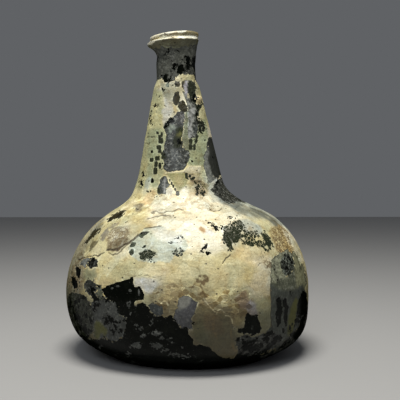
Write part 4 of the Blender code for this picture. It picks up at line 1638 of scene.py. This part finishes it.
def refineAll(shape):
    # splits where the outline of a patch, a crack, a line or the front needs it
    g = grain
    for _ in range(6):
        points = byHand(shape["points"])
        normals = normalsOf(points, shape["faces"])
        outer = shape["along"] < outsideEnd
        look = lookAt(points[outer], normals[outer])
        wear = patchesAt(points[outer], look)
        inView, strokeEdge, toneEdge = edgesAt(look)
        nearEdge = np.minimum(np.abs(wear["film"]), np.abs(wear["glass"]) + 0.5) < g["band"]
        wanted = np.where(inView, g["front"], g["back"])
        wanted = np.where(nearEdge, np.where(inView, g["edge"], g["back"] * g["backEdge"]), wanted)
        wanted = np.where(inView & (wear["crack"] > 0.02), g["edge"] * g["crack"], wanted)
        for name, edge in (("tone", toneEdge), ("stroke", strokeEdge)):
            wanted = np.where(edge < g[name + "Band"], np.minimum(wanted, g[name]), wanted)
        limits = np.full(len(points), 1.0)
        limits[outer] = wanted
        limits[outer & (shape["along"] < partStart["foot"])] = g["kick"]
        if not splitLong(shape, lambda edges: np.minimum(limits[edges[:, 0]], limits[edges[:, 1]])):
            break


def sunken(points, fields, low):
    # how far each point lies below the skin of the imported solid
    r = relief
    lumps = noiseOf(points, "lumps")
    layers = noiseOf(points * np.array([1.0, 1.0, 1.8]), "layers") * 4
    layers = np.floor(layers) + smooth(layers - np.floor(layers), 0.35, 0.65)
    high = r["lumps"] * (0.6 + 0.8 * lumps) + r["terrace"] * (0.5 + 0.22 * layers)
    high = high + r["crack"] * fields["crack"] + r["plate"] * (1 - fields["plate"])
    high = high + r["edgeDrop"] * smooth(fields["film"], -1.6, 0.0)
    deep = r["film"] + (r["glass"] - r["film"]) * smooth(fields["glass"], -0.3, 0.5)
    deep = deep + r["filmLumps"] * lumps
    return np.maximum(0.0, np.where(low, deep, high)) * fields["allow"]


def withBead(points, normals, fields):
    far = np.hypot(fields["spots"][:, 0] - bead["across"], fields["spots"][:, 1] - bead["down"])
    rise = np.sqrt(np.clip(1 - (far / bead["radius"]) ** 2, 0, 1)) * (fields["seen"] > 0)
    return points + normals * (rise * bead["height"])[:, None]


# The materials. Every colour below is linear, and every length is in metres.
def newMaterial(name):
    material = bpy.data.materials.new(name)
    material.use_nodes = True
    material.node_tree.nodes.clear()
    return material, nodeAdder(material.node_tree)


def ramp(add, value, low, high, fromLow=0.0, toHigh=1.0):
    return add("ShaderNodeMapRange", {
        "Value": value, "From Min": low, "From Max": high, "To Min": fromLow, "To Max": toHigh,
    }, clamp=True, interpolation_type="SMOOTHSTEP").outputs[0]


def blendColour(add, share, first, second, kind="MIX"):
    node = add("ShaderNodeMix", {"Factor": share}, data_type="RGBA", blend_type=kind)
    for socket, value in ((node.inputs[6], first), (node.inputs[7], second)):
        if isinstance(value, bpy.types.NodeSocket):
            node.id_data.links.new(value, socket)
        else:
            socket.default_value = (*value, 1.0)
    return node.outputs[2]


def blendNumber(add, share, first, second):
    return add("ShaderNodeMix", {0: share, 2: first, 3: second}, data_type="FLOAT").outputs[0]


def stretched(add, place, scale):
    return add("ShaderNodeMapping", {"Vector": place, "Scale": scale}).outputs[0]


crustLook = {
    "mottle": 230.0,
    "fine": 950.0,
    "speckle": 1500.0,
    "cells": 560.0,
    "chips": 420.0,
    "pits": 620.0,
    "plates": 120.0,
    "drift": 80.0,
    "layers": (110, 110, 420),
    "roughness": 0.46,
    "bump": 0.8,
    "bumpDepth": 0.00060,
}
glassLook = {"roughness": 0.14, "filmRoughness": 0.36, "dust": 0.22}
crumbs = {"size": 900.0, "jump": 2.6, "soft": 1.8, "sharp": 0.16, "calmed": 0.22}

# What the crust's colour is multiplied by; chipLit and edgeLit are painted highlights on edges.
washes = {
    "driftCool": (0.72, 0.79, 0.82),
    "driftWarm": (1.05, 0.99, 0.80),
    "mottleDark": (0.66, 0.56, 0.44),
    "mottlePale": (1.25, 1.32, 1.50),
    "leafDark": (0.84, 0.78, 0.66),
    "leafPale": (1.10, 1.12, 1.18),
    "seam": (0.55, 0.48, 0.38),
    "chipDark": (0.66, 0.57, 0.42),
    "chipPale": (1.45, 1.47, 1.45),
    "chipLit": (1.7, 1.72, 1.75),
    "speckle": (0.25, 0.20, 0.15),
    "edgeLit": (1.35, 1.38, 1.42),
}

# Colours that the material lays on itself.
grounds = {
    "crack": (0.055, 0.040, 0.022),
    "web": (0.13, 0.085, 0.040),
    "netCell": (0.019, 0.024, 0.012),
    "pit": (0.035, 0.030, 0.018),
    "filmDark": (0.012, 0.013, 0.010),
    "filmGrain": (0.016, 0.017, 0.013),
    "filmPale": (0.42, 0.43, 0.38),
    "filmDust": (0.42, 0.41, 0.34),
    "filmCell": (0.008, 0.009, 0.006),
    "glassDeep": (0.0015, 0.0021, 0.0012),
    "glassWorn": (0.0045, 0.0055, 0.0034),
    "glassHaze": (0.070, 0.076, 0.068),
    "glassDust": (0.17, 0.17, 0.15),
}

# How strongly the skin shines: crust, and what film and bare glass take off it.
gloss = {"crust": 0.42, "film": 0.14, "bare": 0.34, "dullFilm": 0.17, "netCell": 0.35}


def skinMaterial():
    # crust, film and bare glass in one, told apart by how deep in its patch each point lies
    look = crustLook
    material, add = newMaterial("buried_glass")
    calc = mathAdder(add)

    def plus(first, second):
        return calc("ADD", first, second)

    def minus(first, second):
        return calc("SUBTRACT", first, second)

    def times(first, second):
        return calc("MULTIPLY", first, second)

    def rise(value, low, high, least=0.0, most=1.0):
        return ramp(add, value, low, high, least, most)

    def painted(name, output="Fac"):
        return add("ShaderNodeAttribute", attribute_name=name).outputs[output]

    def noise(place, scale, detail, rough):
        inputs = {"Vector": place, "Scale": scale, "Detail": detail, "Roughness": rough}
        return add("ShaderNodeTexNoise", inputs).outputs[0]

    def cellsOf(place, scale, feature, output):
        return add("ShaderNodeTexVoronoi", {"Vector": place, "Scale": scale}, feature=feature).outputs[output]

    def random(place, scale, output=0):
        return add("ShaderNodeSeparateColor", {0: cellsOf(place, scale, "F1", "Color")}).outputs[output]

    def walls(place, scale):
        return cellsOf(place, scale, "DISTANCE_TO_EDGE", "Distance")

    def jitter(value, amount):
        return times(minus(value, 0.5), amount)

    def over(base, share, name):
        return blendColour(add, share, base, grounds[name])

    place = add("ShaderNodeTexCoord").outputs["Object"]
    swirl = add("ShaderNodeTexNoise", {"Vector": place, "Scale": 380.0, "Detail": 3.0}).outputs["Color"]
    swirl = add("ShaderNodeVectorMath", {0: swirl, 1: (0.5, 0.5, 0.5)}, operation="SUBTRACT").outputs[0]
    bend = {0: swirl, 1: (0.0016, 0.0016, 0.0016), 2: place}
    bent = add("ShaderNodeVectorMath", bend, operation="MULTIPLY_ADD").outputs[0]
    tint, net, web, chips = painted("tint", "Color"), painted("net"), painted("web"), painted("chips")
    haze = painted("haze")

    # the noises that serve the whole skin
    mottle = noise(place, look["mottle"], 6.0, 0.62)
    fine = noise(place, look["fine"], 4.0, 0.6)
    drift = noise(place, look["drift"], 5.0, 0.58)
    layers = noise(stretched(add, place, look["layers"]), 1.0, 5.0, 0.62)
    speckle = noise(place, look["speckle"], 2.0, 0.5)
    patchy = noise(bent, 170.0, 6.0, 0.68)
    flecks = noise(bent, 330.0, 5.0, 0.62)
    chance = random(bent, crumbs["size"])

    # how far each point is into bare glass and into film, with crumbled edges
    push = plus(jitter(chance, crumbs["jump"]), jitter(flecks, crumbs["soft"] * 2))
    push = times(push, rise(painted("calm"), 0.0, 1.0, 1.0, crumbs["calmed"]))
    bareAt = plus(painted("bareDepth"), push)
    holeAt = times(minus(patchy, minus(0.70, times(painted("holes"), 0.40))), 40.0)
    bareAt = calc("MAXIMUM", bareAt, plus(holeAt, jitter(chance, 1.5)))
    filmAt = plus(painted("filmDepth"), times(push, 0.55))
    filmAt = calc("MAXIMUM", filmAt, calc("MINIMUM", bareAt, plus(filmAt, 4.0)))
    sharp = crumbs["sharp"]
    bare = rise(bareAt, -sharp, sharp)
    opened = rise(filmAt, -sharp, sharp)

    # the crust: drifts of colour, leaves with seams between them, and chips, some with painted highlights on
    # their edges
    leaf = random(bent, look["plates"], 2)
    seam = rise(plus(walls(bent, look["plates"]), jitter(fine, 0.06)), 0.035, 0.010)
    flat = stretched(add, bent, (0.85, 0.85, 1.15))
    chip = random(flat, look["chips"])
    lit = rise(random(flat, look["chips"], 1), 0.62, 0.70)
    lit = times(rise(walls(flat, look["chips"]), 0.12, 0.03), lit)
    shade = plus(rise(layers, 0.25, 0.75, 0.86, 1.12), rise(fine, 0.25, 0.75, -0.15, 0.15))
    shaded = add("ShaderNodeCombineColor", {0: shade, 1: shade, 2: shade}).outputs[0]
    crust = painted("patina", "Color")
    for share, wash in (
        (rise(drift, 0.44, 0.62, 0.0, 0.6), washes["driftCool"]),
        (rise(drift, 0.50, 0.36, 0.0, 0.4), washes["driftWarm"]),
        (rise(mottle, 0.52, 0.72, 0.0, 0.8), washes["mottleDark"]),
        (rise(mottle, 0.47, 0.30, 0.0, 0.8), washes["mottlePale"]),
        (rise(leaf, 0.55, 0.85, 0.0, 0.5), washes["leafDark"]),
        (rise(leaf, 0.30, 0.05, 0.0, 0.5), washes["leafPale"]),
        (times(seam, rise(drift, 0.50, 0.62, 0.0, 0.35)), washes["seam"]),
        (times(chips, rise(chip, 0.45, 0.90)), washes["chipDark"]),
        (times(chips, rise(chip, 0.40, 0.10)), washes["chipPale"]),
        (times(lit, times(chips, 0.8)), washes["chipLit"]),
        (1.0, shaded),
        (rise(speckle, 0.66, 0.72, 0.0, 0.7), washes["speckle"]),
        # painted highlight: the crust lighter beside the film and the glass, where flake edges catch the
        # light
        (times(rise(filmAt, -1.5, -0.3), rise(fine, 0.35, 0.60, 0.2, 1.0)), washes["edgeLit"]),
    ):
        crust = blendColour(add, share, crust, wash, "MULTIPLY")

    # cracks, the brown web, the net of black cells and a few pits
    worn = times(painted("crack"), rise(fine, 0.30, 0.55, 0.45, 1.0))
    cellSide = walls(bent, look["cells"])
    seams = times(web, rise(plus(cellSide, jitter(fine, 0.16)), 0.16, 0.06))
    cellWall = plus(plus(cellSide, times(minus(net, 0.80), 0.55)), jitter(fine, 0.24))
    cells = times(rise(minus(net, random(bent, look["cells"])), -0.02, 0.04), rise(cellWall, 0.072, 0.122))
    pit = rise(random(place, look["pits"], 1), 0.95, 0.96)
    pit = times(pit, rise(cellsOf(place, look["pits"], "F1", "Distance"), 0.34, 0.22))
    crust = over(crust, worn, "crack")
    crust = over(crust, times(seams, 0.85), "web")
    crust = over(crust, cells, "netCell")
    crust = over(crust, times(pit, 0.8), "pit")

    # the film, and the glass under it
    grained = noise(bent, 560.0, 4.0, 0.66)
    film = over(tint, times(rise(patchy, 0.40, 0.66), plus(0.25, times(haze, 0.5))), "filmDark")
    film = over(film, times(rise(grained, 0.56, 0.40), times(haze, 0.8)), "filmGrain")
    film = blendColour(add, times(rise(grained, 0.52, 0.68), haze), film, over(tint, 0.4, "filmPale"))
    film = over(film, times(rise(speckle, 0.60, 0.72), times(haze, 0.6)), "filmDust")
    film = over(film, cells, "filmCell")
    glass = over(grounds["glassDeep"], rise(mottle, 0.45, 0.75), "glassWorn")
    left = times(rise(flecks, 0.62, 0.66), rise(drift, 0.45, 0.60))
    glass = over(glass, times(left, 0.5), "glassHaze")
    glass = over(glass, rise(speckle, 0.68, 0.73, 0.0, glassLook["dust"]), "glassDust")
    colour = blendColour(add, opened, crust, blendColour(add, bare, film, glass))

    rough, filmRough, glassRough = look["roughness"], glassLook["filmRoughness"], glassLook["roughness"]
    crustRough = minus(rise(mottle, 0.3, 0.7, rough - 0.08, rough + 0.14), times(cells, 0.25))
    filmRough = rise(patchy, 0.3, 0.7, filmRough - 0.1, filmRough + 0.12)
    glassRough = rise(mottle, 0.3, 0.7, glassRough - 0.04, glassRough + 0.10)
    rough = blendNumber(add, opened, crustRough, blendNumber(add, bare, filmRough, glassRough))

    step = plus(jitter(random(bent, look["plates"], 1), 0.9), mottle)
    step = plus(step, times(chips, plus(jitter(chip, 1.5), jitter(layers, 0.4))))
    height = plus(plus(step, times(fine, 0.45)), times(layers, 0.6))
    height = minus(height, times(plus(plus(cells, pit), worn), 0.9))
    height = times(minus(1.0, opened), height)
    height = plus(height, times(opened, minus(times(flecks, 0.30), times(bare, 0.35))))
    bumped = {"Height": height, "Strength": look["bump"], "Distance": look["bumpDepth"]}
    bump = add("ShaderNodeBump", bumped).outputs[0]
    shader = add("ShaderNodeBsdfPrincipled", {"Base Color": colour, "Roughness": rough, "Normal": bump})

    # the gloss fades towards the sides; the socket's own value serves where a link is dropped
    shine = shader.inputs["Specular IOR Level"]
    shine.default_value = 0.3
    side = add("ShaderNodeLayerWeight").outputs["Facing"]
    dull = times(minus(1.0, haze), times(minus(1.0, bare), gloss["dullFilm"]))
    dull = plus(rise(bare, 0.0, 1.0, gloss["film"], gloss["bare"]), dull)
    level = minus(gloss["crust"], times(opened, dull))
    level = times(level, rise(side, 0.35, 0.70, 1.0, 0.0))
    level = times(level, rise(cells, 0.0, 1.0, 1.0, gloss["netCell"]))
    material.node_tree.links.new(level, shine)
    add("ShaderNodeOutputMaterial", {"Surface": shader.outputs[0]})
    return material


def paint(mesh, name, values):
    if values.ndim == 2:
        layer = mesh.attributes.new(name, "FLOAT_COLOR", "POINT")
        values = np.column_stack([values, np.ones(len(values))])
        layer.data.foreach_set("color", values.astype(np.float32).ravel())
    else:
        layer = mesh.attributes.new(name, "FLOAT", "POINT")
        layer.data.foreach_set("value", values.astype(np.float32))


# What the wear is where nothing shows: inside the bottle and the bore.
inside = {
    "glass": -6.0, "film": 6.0, "holes": 0.2, "haze": 0.3, "calm": 0.0, "net": 0.0, "web": 0.0, "chips": 0.3,
    "crack": 0.0, "plate": 0.0, "seen": 0.0, "spots": (0.0, 0.0), "tint": colours["filmOlive"],
    "crust": colours["khaki"],
}


def buildBottle():
    skin = skinMaterial()
    shape = spinVessel(skin)
    refineAll(shape)
    print("turned and refined:", len(shape["faces"]), "triangles")
    points = byHand(shape["points"])
    normals = normalsOf(points, shape["faces"])
    outer = shape["along"] < outsideEnd
    fields = {"allow": partAllows(shape["along"]), "normals": normals}
    for name, values in wearOf(points[outer], normals[outer]).items():
        whole = np.empty((len(points), *values.shape[1:]))
        whole[:] = inside[name]
        whole[outer] = values
        fields[name] = whole
    points, fields, faces, low = cutAlong(points, fields, shape["faces"], fields["film"])
    normals = fields["normals"] / np.maximum(np.linalg.norm(fields["normals"], axis=1), 1e-12)[:, None]
    places = points - normals * sunken(points, fields, low)[:, None]
    places = withBead(places, normals, fields)
    lowest, highest = (np.array(corner) for corner in cadBox)
    places = np.clip(places, lowest + 0.00001, highest - 0.00001)

    mesh = bpy.data.meshes.new("bottle_skin")
    mesh.from_pydata(places.tolist(), [], faces.tolist())
    mesh.materials.append(skin)
    mesh.polygons.foreach_set("use_smooth", np.ones(len(faces), dtype=bool))
    mesh.set_sharp_from_angle(angle=math.radians(38))
    paint(mesh, "patina", fields["crust"])
    paint(mesh, "tint", fields["tint"])
    paint(mesh, "bareDepth", np.clip(fields["glass"], -6, 6))
    paint(mesh, "filmDepth", np.clip(fields["film"], -6, 6))
    for name in ("holes", "calm", "haze", "net", "web", "chips", "crack"):
        paint(mesh, name, fields[name])
    mesh.update()
    bottle = bpy.data.objects.new("weathered_bottle", mesh)
    scene.collection.objects.link(bottle)
    print("bottle:", len(faces), "triangles")
    return bottle


bottle = buildBottle()
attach(bottle, "root")
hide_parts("bottle")
print("bottle rides on the root")

# The floor, the air and the lights.
studio = {
    "floorSize": 3.0,
    "floorColour": (0.34, 0.34, 0.34),
    "air": 0.13,
    "keyPower": 6.8,
    "keySize": 0.34,
    "keyPlace": (-0.02, -0.22, 0.74),
    "fillPower": 2.2,
    "fillSize": 0.45,
    "fillPlace": (-0.25, -0.80, 0.62),
    "exposure": 0.0,
}


def softbox(name, place, aim, size, power, warmth):
    data = bpy.data.lights.new(name, "AREA")
    data.shape = "DISK"
    data.size = size
    data.energy = power
    data.color = warmth
    lamp = bpy.data.objects.new(name, data)
    lamp.location = place
    lamp.rotation_euler = (Vector(aim) - Vector(place)).to_track_quat("-Z", "Y").to_euler()
    scene.collection.objects.link(lamp)


def buildStudio():
    s = studio
    half = s["floorSize"] / 2
    mesh = bpy.data.meshes.new("floor")
    corners = [(-half, -half, 0), (half, -half, 0), (half, half, 0), (-half, half, 0)]
    mesh.from_pydata(corners, [], [(0, 1, 2, 3)])
    floor = bpy.data.objects.new("floor", mesh)
    scene.collection.objects.link(floor)
    material, add = newMaterial("plain_floor")
    shader = add("ShaderNodeBsdfPrincipled")
    shader.inputs["Base Color"].default_value = (*s["floorColour"], 1.0)
    shader.inputs["Roughness"].default_value = 0.8
    add("ShaderNodeOutputMaterial", {"Surface": shader.outputs[0]})
    mesh.materials.append(material)
    world = bpy.data.worlds.new("air")
    world.use_nodes = True
    world.node_tree.nodes["Background"].inputs["Color"].default_value = (0.90, 0.94, 1.0, 1.0)
    world.node_tree.nodes["Background"].inputs["Strength"].default_value = s["air"]
    scene.world = world
    softbox("key", s["keyPlace"], (0, 0, 0.08), s["keySize"], s["keyPower"], (1.0, 0.97, 0.90))
    softbox("fill", s["fillPlace"], (0, 0, 0.07), s["fillSize"], s["fillPower"], (0.92, 0.96, 1.0))
    scene.view_settings.view_transform = "Standard"
    scene.view_settings.exposure = s["exposure"]


buildStudio()
print("studio set")
